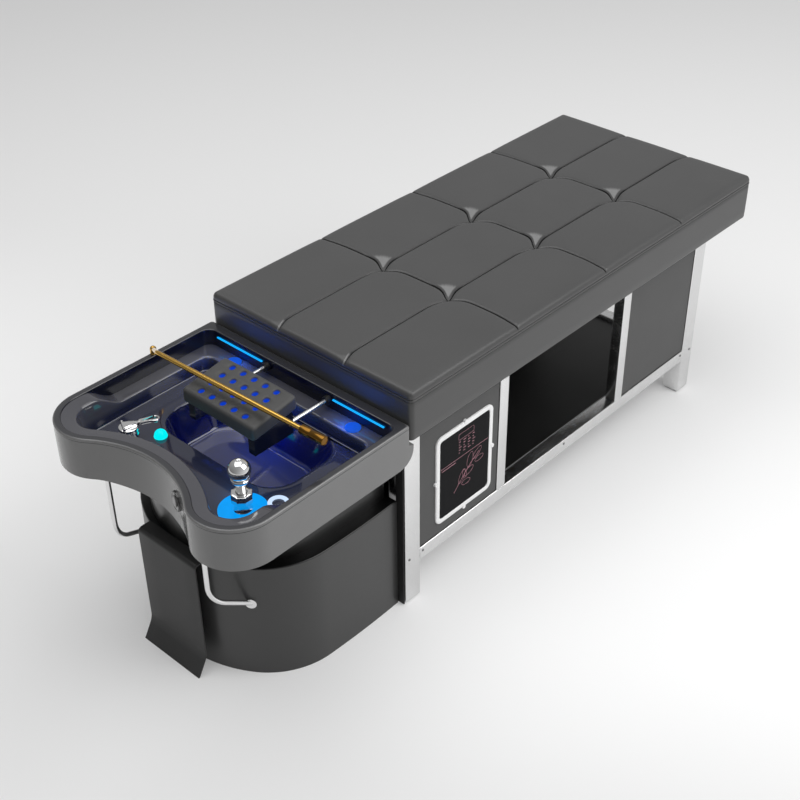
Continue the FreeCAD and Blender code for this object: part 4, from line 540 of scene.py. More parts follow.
border = np.concatenate([top_grid[:-1, 0], top_grid[-1, :-1], top_grid[:0:-1, -1], top_grid[0, ::-1]])
corner_limit = np.array([mattress_length, mattress_half]) - upright_radius
centre = np.clip(border[:, :2], (upright_radius, -corner_limit[1]), corner_limit)
outward = border[:, :2] - centre
outward /= np.maximum(np.linalg.norm(outward, axis=1), 1e-9)[:, None]
# Each welt row is how far out, the height and the mark; the marked rows are the grooves beside the piping, which the
# leatherette darkens with painted shade.
welt = [(0, 683, 0), (-0.5, 682.6, 1), (-1.0, 681.7, 1), (-0.5, 680.6, 1), (0.3, 680.1, 0), (0.9, 677.8, 0),
        (0.3, 675.4, 0), (-0.5, 675.0, 1), (-0.9, 674.3, 1), (-0.5, 673.5, 1), (0, 673.0, 0), (0.3, 660, 0),
        (0.5, 630, 0), (0.3, 590, 0), (0, 569, 0), (-1.2, 565, 0), (-4, 562.4, 0), (-14, mattress_low, 0)]
side_grid = np.stack([level_ring(border[:, :2] + outward * out, height) for out, height, _ in welt])
side_grid[0] = border
under_middle = np.broadcast_to((mattress_length / 2, 0.0, mattress_low), side_grid[-1:].shape)
under_grid = np.concatenate([side_grid[-1:], under_middle])


def leatherette(name, colour, rough=0.42, pebble=620.0, depth=0.22):
    """Grained upholstery: cells of a Voronoi pattern are the pebbles, a noise softens them, the colour wanders
    slowly, and the seam attribute darkens where it is above nothing, the stitched lines with painted shade in their
    grooves, creases and holes, and paints a highlight where it is below."""
    material, tree, shader = new_finish(name)
    place = object_place(tree)
    cells = node_in(tree, "ShaderNodeTexVoronoi", {"Vector": place, "Scale": pebble},
                    feature="SMOOTH_F1").outputs["Distance"]
    height = maths(tree, "ADD", cells, noise(tree, place, 2.2 * pebble, 3.0))
    slow = noise(tree, place, 5.0, 5.0)
    base = blend(tree, remap(tree, slow, 0.3, 0.7), scaled(colour, 0.95), scaled(colour, 1.05))
    pitted = blend(tree, 1.0, base, remap(tree, cells, 0.0, 0.8, 0.92, 1.05), "MULTIPLY")
    seam = node_in(tree, "ShaderNodeAttribute", attribute_name="seam").outputs["Fac"]
    sewn_and_shaded = blend(tree, remap(tree, seam, 0.25, 0.9, 0.0, 0.86), pitted, tone(6))
    painted_highlit = blend(tree, remap(tree, seam, -0.1, -1.0), sewn_and_shaded, scaled(colour, 3.4))
    raised = node_in(tree, "ShaderNodeBump", {"Strength": depth, "Distance": 0.0003, "Height": height}).outputs[0]
    plug(tree, shader, {"Base Color": painted_highlit, "Roughness": remap(tree, height, 0.2, 1.3, rough - 0.06, rough + 0.08),
                        "Normal": raised, "Sheen Weight": 0.08, "Sheen Roughness": 0.4})
    return material


grey_leatherette = leatherette("mattress_leatherette", tone(66), rough=0.35)
mattress = build("mattress_pads", [top_grid, side_grid, under_grid], "bed", grey_leatherette, "mattress_cushion",
                 slot="leatherette", angle=75,
                 marks=[top_marks, np.repeat([m[2] for m in welt], len(border)), np.zeros(2 * len(border))])
dress(paint("plywood", tone(176, 146, 108), 0.6, mottle=0.15, grain=120.0, stretch=(0.1, 1, 1), depth=0.2),
      "mattress_board")

# Basin shell: the outside of a vacuum formed acrylic basin. Its plan is straight at the sides and along the
# mattress, with two rounded lobes in front and a hollow between them where the washer stands. A rolled rim
# runs all round, and the apron under it turns in to the bed with a large heel.
basin_half, basin_front, notch_depth = 350.0, -566.0, 77.8
lobe_centre, lobe_radius = (-455.0, 239.0), 111.0
notch_radius = (lobe_centre[1] ** 2 + notch_depth ** 2) / (2 * notch_depth) - lobe_radius
notch_centre_x = basin_front + notch_depth - notch_radius


def arc(centre, radius, turn):
    """Points of a circle: its centre plus the radius times the cosine and the sine of each angle."""
    return np.stack([centre[0] + radius * np.cos(turn), centre[1] + radius * np.sin(turn)], axis=1)


def basin_plan(inset, bed_x, corner, lean_out=0.0):
    """The closed plan drawn in by inset: a corner arc, the side, a lobe arc, the notch arc round the washer's
    side, and the same mirrored. The notch arc comes out by lean_out times half of one plus the cosine of pi times
    the square of its share of the turn."""
    half = basin_half - inset
    lobe, notch = lobe_radius - inset, notch_radius + inset
    lean = math.atan2(lobe_centre[1], lobe_centre[0] - notch_centre_x)
    turn = np.radians(np.linspace(0, 90, 9))
    corner_arc = arc((bed_x - corner, half - corner), corner, turn)
    side = np.stack([np.linspace(bed_x - corner, lobe_centre[0], 26)[1:-1], np.full(24, half)], axis=1)
    lobe_arc = arc(lobe_centre, lobe, np.linspace(math.pi / 2, math.pi + lean, 30))
    turn = np.linspace(lean, 0, 28)[1:]
    notch = notch - lean_out * (1 + np.cos(np.pi * (turn / lean) ** 2)) / 2
    left = np.concatenate([corner_arc, side, lobe_arc, arc((notch_centre_x, 0), notch, turn)])
    right = left[-2::-1] * (1, -1)
    bed = np.stack([np.full(19, bed_x), np.linspace(-(half - corner), half - corner, 21)[1:-1]], axis=1)
    return np.concatenate([left, right, bed, left[:1]])


def rounded_line(points, radii, steps=7):
    """Straight runs joined by tangent arcs: each arc blends its two radii by the sines of their angles."""
    points = np.asarray(points, float)
    parts = [points[:1]]
    for before, corner, after, radius in zip(points[:-2], points[1:-1], points[2:], radii):
        if radius <= 0:
            parts.append(corner[None])
            continue
        back, on = before - corner, after - corner
        back, on = back / np.linalg.norm(back), on / np.linalg.norm(on)
        half = math.acos(float(np.clip(back @ on, -1, 1))) / 2
        middle = corner + (back + on) / np.linalg.norm(back + on) * radius / math.sin(half)
        first, last = (corner + way * radius / math.tan(half) - middle for way in (back, on))
        opening = math.acos(float(np.clip(first @ last / radius ** 2, -1, 1)))
        share = np.linspace(0, 1, steps)[:, None]
        blended = np.sin((1 - share) * opening) * first + np.sin(share * opening) * last
        parts.append(middle + blended / math.sin(opening))
    return np.concatenate(parts + [points[-1:]])


heel_middle_x, heel_z = -33.0, 545.0


def heel_x(z, radius):
    """How far the apron reaches towards the bed: a quarter circle heel, then straight up."""
    drop = np.clip(heel_z - z, 0, radius)
    return heel_middle_x + np.sqrt(radius ** 2 - drop ** 2)


face_out, face_top, face_drop = 8.0, 612.0, 112.0


def face_lean(z):
    """How far the notch face stands out at a height: nothing at the rim, 8 mm at the lower edge."""
    return face_out * np.clip((face_top - z) / face_drop, 0, 1)


shell_rows = []
for z in (*np.linspace(500, heel_z, 12), 551, 558, 590, 606.6, 607.2, 608.4, 609):
    heel = float(heel_x(z, 45.0)) if z < 552 else -4.0
    shell_rows.append((0.0, float(z), heel, 6.0, face_lean(z), 0.9 if 607 < z < 608.5 else 0.0))
for inset, z in rounded_line([(0, 609.6), (0, 616), (19, 616), (19, 564.2)], [5, 3]):
    bed_x = -4.0 - 6.0 * min(inset / 6, 1) - 23.0 * np.clip((inset - 6) / 13, 0, 1)
    shell_rows.append((inset, z, bed_x, 6.0 + 20.0 * inset / 19, face_lean(z) * (inset < 6),
                       np.interp(inset, [2, 4.5, 16.5, 18.5], [0.0, 0.78, 0.82, 1.0])))
for z, bed_x in ((564.0, -10.0), (552.0, 6.0), *((z, float(heel_x(z, 39.0))) for z in np.linspace(heel_z, 506.2, 10)),
                 (500.0, heel_middle_x)):
    shell_rows.append((6.0, float(z), bed_x, 6.0, face_lean(z), 0.5))
shell_rows.append(shell_rows[0])
shell_grid = np.stack([level_ring(basin_plan(inset, bed_x, corner, lean), z)
                       for inset, z, bed_x, corner, lean, _ in shell_rows])
# Each row's last value is its mark: 0.9 draws a fine dark line round the apron just under the rim, 0.78 to 0.82
# darkens the rim's top as a painted dark reflection, 1 turns the rim's inner wall to the basin's dark inside, and the
# apron's hidden inner face takes 0.5.
shell_marks = np.repeat([row[5] for row in shell_rows], shell_grid.shape[1])


def gloss(name, colour, rough, coat=0.6, dark_and_shade_colour=None, levels=()):
    """Polished plastic: a fine noise breaks the shine. The colour changes to the dark and shade colour by the piece's
    own seam attribute, which marks darker parts of its own colour and also painted shade and reflection, and to each
    level's colour between two heights."""
    material = paint(name, colour, rough, coat=coat, mottle=0.03, grain=60.0, depth=0.01, rough_swing=0.02)
    tree = material.node_tree
    shader = tree.nodes["Principled BSDF"]
    before = shader.inputs["Base Color"].links[0].from_socket
    if dark_and_shade_colour:
        mark = node_in(tree, "ShaderNodeAttribute", attribute_name="seam").outputs["Fac"]
        before = blend(tree, mark, before, dark_and_shade_colour)
    height = axes(tree, object_place(tree))["Z"]
    for low_z, high_z, level_colour in levels:
        before = blend(tree, remap(tree, height, low_z, high_z, smooth=True), before, level_colour)
    plug(tree, shader, {"Base Color": before})
    return material


basin_grey = gloss("basin_grey", tone(109), 0.2, coat=0.3, dark_and_shade_colour=tone(12, 14, 24))
build("basin_rim_and_apron", [shell_grid], "bed", basin_grey, "basin_shell", angle=40, marks=[shell_marks])

# Basin liner: the glossy dark inside. A ledge runs round under the rim, the tub wall drops to the tap deck, and
# the deck falls into a deep bowl with rounded corners and a drain in its floor.
bowl_centre, drain_spot = np.array([-240.0, 0.0]), np.array([-265.0, 0.0])
deck_z, ledge_z, floor_z = 530.0, 570.0, 437.5


def bowl_ring(share, angles):
    """The bowl's plan, from its mouth at share 0 to its floor at 1, met by rays from one point: a rounded
    rectangle is drawn finely and its distance is read off at each ray's angle."""
    low_x, high_x = -327.2 + 12 * share, -79.0 - 50 * share
    half, radius = 215.0 - 44 * share, 80.0 - 22 * share
    outline = rectangle_ring((low_x + high_x) / 2, 0.0, (high_x - low_x) / 2, half, radius, 60)
    x, y = (np.concatenate([np.linspace(a, b, 40, endpoint=False) for a, b in zip(line[:-1], line[1:])]) - middle
            for line, middle in zip(outline, bowl_centre))
    heading = np.arctan2(y, x)
    order = np.argsort(heading)
    distance = np.interp(angles, heading[order], np.hypot(x, y)[order], period=2 * np.pi)
    return arc(bowl_centre, distance, angles)


def liner_side(thickness):
    """One face of the liner, from under the rim to the drain; thickness 0 is the inside, 6 the outside. In front
    the ledge's line gives way to the lip's, by a smooth step of how far forward a point lies."""
    rows = []
    ledge = rounded_line([(19.3, ledge_z), (60, ledge_z), (60, deck_z), (68, deck_z)], [6, 5], 9)
    lip = rounded_line([(19.3, 613), (53, 608), (62, 552), (62, deck_z), (70, deck_z)], [9, 0, 5], 9)
    even_ledge, even_lip = np.linspace(0, 1, len(ledge)), np.linspace(0, 1, len(lip))
    lip = np.stack([np.interp(even_ledge, even_lip, lip[:, axis]) for axis in (0, 1)], axis=1)
    for line in (ledge, lip):
        line[:, 0] -= np.where(line[:, 1] < ledge_z - 1, thickness, 0)
        line[:, 1] -= thickness
    for (inset, z), (lip_inset, lip_z) in zip(ledge, lip):
        bed_x = -33 - 46 * np.clip((inset - 19) / 41, 0, 1.3)
        ring = level_ring(basin_plan(inset, bed_x, 26.0), z)
        front = level_ring(basin_plan(lip_inset, bed_x, 26.0), lip_z)
        forward = np.clip((-352 - ring[:, :1]) / 80, 0, 1)
        forward = forward ** 2 * (3 - 2 * forward)
        sideways = forward * np.interp(ring[:, 1:2], [-100, 100], [1.0, 0.62] if lip_z > 560 else [1.0, 1.0])
        rows.append(ring + (front - ring) * np.concatenate([sideways, sideways, forward], axis=1))
    angles = np.arctan2(rows[-1][:, 1] - bowl_centre[1], rows[-1][:, 0] - bowl_centre[0])
    wall_run = 44
    for run, z in rounded_line([(-14, deck_z), (0, deck_z), (wall_run, floor_z), (60, floor_z)], [12, 16], 9):
        ring = bowl_ring(min(run / wall_run, 1.0), angles)
        beyond = run - wall_run if run > wall_run else min(run, 0)
        if beyond:
            ring = bowl_centre + (ring - bowl_centre) * (1 - beyond / 150)
        out = (ring - bowl_centre) / np.linalg.norm(ring - bowl_centre, axis=1)[:, None]
        rows.append(level_ring(ring + thickness * out * (floor_z + 0.1 < z < deck_z - 0.1), z - thickness))
    drain_ring, floor_ring = arc(drain_spot, 20.5, angles), rows[-1][:, :2]
    for share in (0.3, 0.6, 0.85, 1.0):
        rows.append(level_ring(floor_ring * (1 - share) + drain_ring * share, floor_z - 1.5 * share - thickness))
    return np.stack(rows)


inside, outside = liner_side(0.0), liner_side(6.0)
liner_gloss = gloss("liner_gloss", tone(46, 49, 76), 0.09, coat=0.5,
                    levels=((0.438, 0.452, tone(14, 18, 56)), (0.515, 0.53, tone(34, 37, 54)),
                            (0.545, 0.568, tone(66, 66, 71))))
build("basin_tub_and_bowl", [np.concatenate([inside, outside[::-1], inside[:1]])], "bed", liner_gloss, "basin_liner",
      angle=40)

# Drain: a polished chrome flange in the bowl floor with a lift-out hair strainer; under it a tail pipe, a
# bottle trap and the waste pipe to the floor, in white plastic.
chrome = paint("chrome_fitting", tone(232), 0.09, metal=1.0, mottle=0.02, grain=400.0, depth=0.01, rough_swing=0.04)
flange_profile = [(20.2, 430), (20.2, 436), (28.4, 436.2), (29, 437), (28.4, 437.8), (26, 438.3), (21.5, 437.8),
                  (18.4, 436.8), (18, 430), (20.2, 430)]
build("drain_flange_ring", [turned([(r, z - 436) for r, z in flange_profile], (-265, 0, 436), sides=56)], "bed",
      chrome, "drain_flange")
dress(chrome, "drain_strainer")
pipe_white = paint("waste_white", tone(222), 0.4, mottle=0.04)
dress(pipe_white, "drain_trap", "waste_pipe")

# Mixer tap: a polished chrome body on a short stem, a turning cap, and a flat lever with a finger loop that is
# hinged at the back of the cap.
tap_spot = (-411.0, 194.0, deck_z)
tap_profile = [(0, 0), (19, 0), (19, 1.6), (17, 2.6), (14.2, 3.2), (14, 5), (14, 12.5), (15.5, 13.6), (22.5, 14.2),
               (24.4, 15.4), (25, 17.2), (25, 29.4), (24.6, 30.4), (23.4, 30.9), (12, 30.9), (12, 37), (0, 37)]
build("tap_body_turned", [turned(tap_profile, tap_spot, sides=64)], "bed", chrome, "tap_body")
cap_profile = [(12.2, 31.3), (23.4, 31.3), (24.5, 32), (24.7, 33.4), (24.7, 40.6), (24.1, 42), (22.6, 42.7),
               (12, 42.9), (0, 42.9)]
lever_turn = math.radians(-27.0)
lever_dir = np.array([math.cos(lever_turn), math.sin(lever_turn), 0.0])
lever_side = np.array([-math.sin(lever_turn), math.cos(lever_turn), 0.0])
lever_low = np.array(tap_spot) + (0, 0, 43)
hinge = lever_low - lever_dir * 13 + (0, 0, 3.5)


def along_lever(points, start):
    """Points given along the lever, across it and up, laid from a start."""
    return start + points[..., :1] * lever_dir + points[..., 1:2] * lever_side + points[..., 2:] * (0, 0, 1)


ear_profile = [(0, 0), (3.1, 0), (3.5, 0.5), (3.5, 3.5), (3.1, 4), (0, 4)]
ear_grids = [turned(ear_profile, hinge + lever_side * sign * 15.3, lever_side * sign, 24) for sign in (1, -1)]
ear_block = bar((-3.4, -1.9, -0.6), (3.4, 1.9, 3.6), 2, corner=0.8, edge=0.2, steps=3)
ear_grids += [along_lever(ear_block, hinge + lever_side * sign * 17.3 - (0, 0, 3.6)) for sign in (1, -1)]
hinge_pin = turned([(0, 0), (1.5, 0), (1.5, 34), (0, 34)], hinge - lever_side * 17, lever_side, 16)
build("tap_cap_turned", [turned(cap_profile, tap_spot, sides=64), *ear_grids, hinge_pin], "tap_head", chrome,
      "tap_cap")


def lever_outline(grow):
    """The lever's plan, its root round the hinge and its tip a half circle, and the finger loop's plan, both grown
    by the same amount, as points along and across the lever. Both run once round with the same count."""
    root, tip, root_half, tip_half = -13.0, 65.0, 15.0 + grow, 12.0 + grow
    turn = np.radians(np.linspace(90, -90, 25))
    tip_arc = arc((tip, 0), tip_half, turn)
    root_arc = np.stack([root + (1.0 + 0.3 * grow) * np.cos(turn[::-1] + math.pi),
                         (root_half - 0.2) * np.sin(turn[::-1] + math.pi)], axis=1)
    low_side = np.linspace(tip_arc[-1], root_arc[0], 22)[1:-1]
    high_side = np.linspace(root_arc[-1], tip_arc[0], 22)[1:-1]
    outer = np.concatenate([tip_arc, low_side, root_arc, high_side, tip_arc[:1]])
    slot_turn = np.linspace(math.pi / 2, math.pi / 2 - 2 * math.pi, len(outer))
    slot_middle = np.where(np.cos(slot_turn) >= 0, 65.0, 32.3), 0
    return outer, arc(slot_middle, 6.6 - grow, slot_turn)


edge_line = [(0.0, 2.2), (0.0, 5.4), (-0.45, 6.4), (-1.4, 7.0)]
outer_top, slot_top = lever_outline(-1.4)
under_outer, under_slot = lever_outline(-1.2)
lever_rows = [(lever_outline(grow)[0], height) for grow, height in edge_line]
for share in (0.35, 0.7, 1.0):
    lever_rows.append((outer_top * (1 - share) + slot_top * share, 7.0 - 0.25 * math.sin(math.pi * share)))
lever_rows += [(lever_outline(grow)[1], height) for grow, height in edge_line[-2::-1]]
for share in (0.0, 0.5, 1.0):
    lever_rows.append((under_slot * (1 - share) + under_outer * share, 0.3))
lever_rows.append(lever_rows[0])
lever_grid = np.stack([along_lever(level_ring(plan, height), lever_low) for plan, height in lever_rows])
barrel_profile = [(1.7, 0), (3.3, 0), (3.3, 29.4), (1.7, 29.4), (1.7, 0)]
lever_barrel = turned(barrel_profile, hinge - lever_side * 14.7, lever_side, 24)
build("tap_lever_loop", [lever_grid, lever_barrel], "tap_handle", chrome, "tap_lever", angle=50)

# Hand shower: a chrome ball head on a neck that stands in an eight sided cup; the cup's stem flares out to the
# lit plate on the deck.
shower_spot = np.array([-405.0, -203.0, deck_z])
stem_profile = [(0, 3), (22, 3), (22, 4.2), (20.4, 6.5), (18.4, 12), (17.2, 19), (17, 24), (0, 24)]
octagon_turn = np.radians(np.arange(0, 361, 5) + 22.5)
octagon_turn[-1] = octagon_turn[0]
cup_circle = arc((0, 0), 1, octagon_turn)
octagon = cup_circle / np.cos((octagon_turn + math.pi / 8) % (math.pi / 4) - math.pi / 8)[:, None]
cup_line = [(0, 25), (20, 25), (23.2, 25.6), (24, 27), (24, 49.6), (23.3, 51.2), (22, 52), (14, 52), (12.5, 51),
            (12.3, 28), (0, 28)]
cup_grid = np.stack([level_ring(shower_spot[:2] + (octagon if radius > 14.5 else cup_circle) * radius,
                                shower_spot[2] + height) for radius, height in cup_line])
build("shower_cup_and_stem", [turned(stem_profile, shower_spot, sides=56), cup_grid], "bed", chrome, "shower_holder")


def bead(radius, height, low, high, count):
    """The part of a circle's outline between two angles, as radius and height, for a ball's or a dome's profile."""
    return arc((0, height), radius, np.radians(np.linspace(low, high, count))).tolist()


shower_profile = [(0, 28.3), (11.4, 28.3), (12, 29), (12, 76), (13.4, 77.8), (17.2, 79.6), (20.2, 84), (21.4, 90.6),
                  (20, 91.8), (15, 91), *bead(27, 114, -56, 76, 26), (5.2, 139.6), (4.2, 139.2), (0, 139.3)]
nozzle_profile = [(0, 0), (0.9, 0), (0.9, 1.3), (0.5, 1.7), (0, 1.7)]
nozzle_grids = [turned(nozzle_profile, shower_spot + (3.2 * math.cos(turn), 3.2 * math.sin(turn), 138.9), sides=10)
                for turn in np.radians(np.arange(0, 360, 45))]
build("hand_shower_head", [turned(shower_profile, shower_spot, sides=64), *nozzle_grids], "shower", chrome,
      "hand_shower", angle=40)

# Lights: translucent plastic with lamps behind, in the deck, on the ledge by the bed and under the rim.


def lit_plastic(name, colour, strength):
    """Lit translucent plastic: a steady glow in its own colour, a little uneven by a slow noise."""
    material, tree, shader = new_finish(name)
    shade = blend(tree, noise(tree, object_place(tree), 60.0, 2.0), scaled(colour, 0.85), colour)
    plug(tree, shader, {"Base Color": blend(tree, 0.97, shade, (0.0, 0.0, 0.0, 1.0)), "Emission Color": shade,
                        "Emission Strength": strength, "Roughness": 0.25, "Specular IOR Level": 0.1})
    return material


dress(lit_plastic("lamp_blue_plate", tone(3, 160, 250), 1.0), "glow_plate")
lamp_cyan = lit_plastic("lamp_cyan", tone(0, 250, 255), 1.0)
dome_profile = [(0, 0), (17, 0), (17, 1.6), (16, 2.6), *bead(16, 3, 0, 90, 12)]
build("dome_light_cover", [turned(dome_profile, (-352, 152, deck_z), sides=48)], "bed", lamp_cyan, "dome_light")
lamp_white = lit_plastic("lamp_white", tone(205, 226, 255), 1.1)
ring_profile = [(15, 1), (25, 0), (25, 3.6), (24, 4.7), (22, 5), (18, 5), (16, 4.7), (15, 3.6), (15, 1)]
build("ring_light_tube", [turned(ring_profile, (-337, -247, deck_z), sides=56)], "bed", lamp_white, "ring_light")
lamp_blue = lit_plastic("lamp_blue", tone(24, 86, 205), 1.0)
lamp_profile = [(0, 0), (20, 0), (20, 2.4), (19, 3.6), (17, 4), (0, 4.2)]
lamp_grids = [turned(lamp_profile, (-56, side * 212, ledge_z), sides=40) for side in (1, -1)]
build("ledge_lamp_discs", lamp_grids, "bed", lamp_blue, "ledge_lamps")
lamp_strip = lit_plastic("lamp_strip", tone(20, 170, 255), 1.2)
strip_grids = [bar((-38, low, 599), (-33, high, 602.6), 1, corner=1.2, edge=0.6)
               for low, high in ((126, 295), (-295, -126))]
build("light_strip_bars", strip_grids, "bed", lamp_strip, "light_strips", slot="lamp_cyan")
deep_blue = (0.02, 0.16, 1.0)
for name, place, watts, colour, radius in (("bowl_blue_light", (-150, 0, 520), 0.6, deep_blue, 0.03),
                                           ("ledge_blue_light_left", (-70, 200, 592), 0.5, deep_blue, 0.02),
                                           ("ledge_blue_light_right", (-70, -200, 592), 0.5, deep_blue, 0.02),
                                           ("deck_cyan_light", (-380, -170, 560), 0.25, (0.05, 0.6, 1.0), 0.02)):
    lamp = new_lamp(name, "POINT", (np.array(place) + (head_x, 0, 0)) / 1000, watts, colour)
    lamp.data.shadow_soft_size = radius
    lamp.visible_glossy = False

# Headrest: a moulded soft pad with twenty drain holes, on a glossy black cradle that slides on two steel rods
# held in sockets on the basin's bed side wall.
hole_radius, pad_depth, pad_rear, pad_slope = 8.0, -37.0, -151.0, math.tan(math.radians(8.8))
line_x = np.array([-284.0, -254.75, -221.25, -187.75, -160.0])
line_y = np.array([-117.0, -58.05, -19.35, 19.35, 58.05, 117.0])
centre_x = (-171.0 - 33.5 * np.arange(4)[::-1])[:, None, None]
centre_y = (38.7 * (np.arange(5) - 2))[None, :, None]
share_side = np.linspace(0, 1, 9)[:-1]
unit_x = np.concatenate([share_side, np.ones(8), 1 - share_side, np.zeros(8), [0]])
unit_y = np.concatenate([np.zeros(8), share_side, np.ones(8), 1 - share_side, [0]])
cell_x, cell_y = np.broadcast_arrays(line_x[:-1, None, None] + np.diff(line_x)[:, None, None] * unit_x,
                                     line_y[None, :-1, None] + np.diff(line_y)[None, :, None] * unit_y)
toward = np.arctan2(cell_y - centre_y, cell_x - centre_x)


def pad_top(x, y):
    """The pad's top: it falls towards the basin, and swells a little in the middle."""
    return 676.0 - (pad_rear - x) * pad_slope + 1.2 * np.cos(np.clip(y / 126, -1, 1) * np.pi / 2)


def cell_rings(rings):
    """Every hole's rings, each a radius, a share of the way from there to the cell's border and a height from
    the pad's top."""
    rows = []
    for radius, share, rise in rings:
        x = (centre_x + radius * np.cos(toward)) * (1 - share) + cell_x * share
        y = (centre_y + radius * np.sin(toward)) * (1 - share) + cell_y * share
        rows.append(np.stack([x, y, pad_top(x, y) + rise], axis=-1))
    return np.stack(rows, axis=2).reshape(20, len(rings), len(unit_x), 3)


cells = cell_rings([(hole_radius, 0.0, pad_depth), (hole_radius, 0.0, -7.0), (8.1, 0.0, -2.6), (8.9, 0.0, -0.9),
                    (10.2, 0.0, -0.1), (10.2, 0.5, 0.0), (10.2, 1.0, 0.0)])
under_cells = cell_rings([(hole_radius, 0.0, pad_depth), (hole_radius, 1.0, pad_depth)])
run_x, run_y = (np.concatenate([low + (high - low) * share_side for low, high in zip(line[:-1], line[1:])])
                for line in (line_x, line_y))
fan = np.radians(np.linspace(0, 90, 7))[:, None]
low_x, high_x, low_y, high_y = line_x[0], line_x[-1], line_y[0], line_y[-1]
pad_border = []
for run, corner, normal in (((run_x, np.full_like(run_x, low_y)), (high_x, low_y), (0, -1)),
                            ((np.full_like(run_y, high_x), run_y), (high_x, high_y), (1, 0)),
                            ((low_x + high_x - run_x, np.full_like(run_x, high_y)), (low_x, high_y), (0, 1)),
                            ((np.full_like(run_y, low_x), -run_y), (low_x, low_y), (-1, 0))):
    run = np.stack(run, axis=1)[1 if pad_border else 0:]
    next_normal = np.array([-normal[1], normal[0]])
    pad_border.append(np.hstack([run, np.tile(normal, (len(run), 1))]))
    pad_border.append(np.hstack([np.tile(corner, (len(fan), 1)), np.cos(fan) * normal + np.sin(fan) * next_normal]))
pad_border = np.concatenate([*pad_border, pad_border[0][:1]])
pad_edge = [(9 * math.sin(t), -9 * (1 - math.cos(t))) for t in np.radians(np.linspace(0, 90, 8))]
pad_edge += [(9.3, -20), (9.2, -31), (8.4, -35.2), (6.0, pad_depth), (0.0, pad_depth)]
skin_rows = []
for out, rise in pad_edge:
    edge_x, edge_y = (pad_border[:, :2] + out * pad_border[:, 2:]).T
    skin_rows.append(np.stack([edge_x, edge_y, pad_top(edge_x, pad_border[:, 1]) + rise], axis=1))
skin_grid = np.stack(skin_rows)
headrest_foam = leatherette("headrest_foam", tone(60), rough=0.5, pebble=900.0, depth=0.15)
# The seam marks on the holes' walls darken them, painted shade, and this foam also gives them a blue glow, painted
# light that stands for the blue light seen in the holes.
tree = headrest_foam.node_tree
painted_glow_share = remap(tree, node_in(tree, "ShaderNodeAttribute", attribute_name="seam").outputs["Fac"], 0.0, 1.0)
plug(tree, tree.nodes["Principled BSDF"],
     {"Emission Color": blend(tree, painted_glow_share, (0.0, 0.0, 0.0, 1.0), tone(0, 62, 205)),
      "Emission Strength": 1.0})
hole_marks = np.broadcast_to(np.array([1.0, 0.85, 0.15, 0.0, 0.0, 0.0, 0.0])[:, None], cells[0].shape[:2])
plain_marks = [np.zeros(grid.shape[:2]) for grid in (*under_cells, skin_grid)]
headrest = build("headrest_soft_pad", [*cells, *under_cells, skin_grid], "headrest", headrest_foam, "headrest_pad",
                 angle=50, marks=[hole_marks] * len(cells) + plain_marks)
dress(paint("headrest_shell", tone(16, 18, 26), 0.15, coat=0.6, mottle=0.05, grain=300.0, depth=0.02),
      "headrest_cradle")
rod_side, rod_height = 109, 594
rod_profile = [(0, 0), (5.2, 0), (6, 0.8), (6, 164.2), (5.2, 165), (0, 165)]
rod_grids = [turned(rod_profile, (-204, side * rod_side, rod_height), (1, 0, 0), 24) for side in (1, -1)]
build("headrest_rod_bars", rod_grids, "bed", polished_steel, "headrest_rods")
socket_profile = [(6.2, 6), (6.2, 0.6), (7, 0), (10.6, 0), (12, 1.4), (12, 12), (6.2, 12), (6.2, 6)]
socket_grids = [turned(socket_profile, (-45, side * rod_side, rod_height), (1, 0, 0), 32) for side in (1, -1)]
build("rod_socket_rings", socket_grids, "bed", paint("socket_black", tone(22), 0.3, mottle=0.1), "rod_sockets",
      slot="headrest_shell")

# Water bar: a gold plated tube that turns on a pin in the rim, rises in one bend and runs across over the
# headrest to a thicker nozzle sleeve.
gold = paint("gold_metal", tone(216, 174, 90), 0.13, metal=1.0, mottle=0.08, grain=300.0, depth=0.02,
             rough_swing=0.05)
# The nozzle sleeve is painted a darker gold than the tube: a painted dark reflection on the bar's far end.
dark_gold = paint("dark_gold_metal", tone(122, 88, 38), 0.2, metal=1.0, mottle=0.08, grain=300.0, depth=0.02)
bar_pivot = np.array([-208.0, 340.5, 616.0])
base_profile = [(0, -2.6), (8.5, -2.6), (8.5, 3), (7.8, 3.9), (3, 4), (3, 9), (0, 9)]
build("water_bar_base_ring", [turned(base_profile, bar_pivot, sides=36)], "bed", gold, "water_bar_base")
run_turn = math.radians(2.0)
run_dir = np.array([math.sin(run_turn), -math.cos(run_turn), 0.0])
run_start = np.array([-262.0, 248.5, 686.0])
sleeve_start = run_start + run_dir * 486.0
bar_path = rounded_line([bar_pivot + (0, 0, 14.3), run_start, sleeve_start + run_dir * 4], [32.5], 24)
bar_path = np.concatenate([np.linspace(bar_path[0], bar_path[1], 14), bar_path[2:-1],
                           np.linspace(bar_path[-2], bar_path[-1], 60)[1:]])
bar_radius = np.interp(np.linspace(0, 1, len(bar_path)), [0, 0.35, 0.7, 1.0], [5.2, 6.0, 7.5, 6.4])
collar_profile = [(0, 4.3), (8.1, 4.3), (8.5, 4.8), (8.5, 14.3), *bead(8.5, 14.3, 0, 88, 12), (0, 22.8)]
build("water_bar_bent_tube", [turned(collar_profile, bar_pivot, sides=36),
                              piped(bar_path, bar_radius, (0.3, 0.1, 1), 28)],
      "water_bar", gold, "water_bar_tube")
sleeve_profile = [(0, 0), (7.6, 0), (10.2, 1.2), (12, 3), (12, 30), (11.4, 31), (11.4, 33), (12, 34), (12, 71),
                  (11.2, 73.2), (9.6, 74), (9.0, 72.8), (0, 72.4)]
build("water_bar_nozzle_sleeve", [turned(sleeve_profile, sleeve_start, run_dir, 40)], "water_bar", dark_gold,
      "water_bar_sleeve", slot="gold_metal")

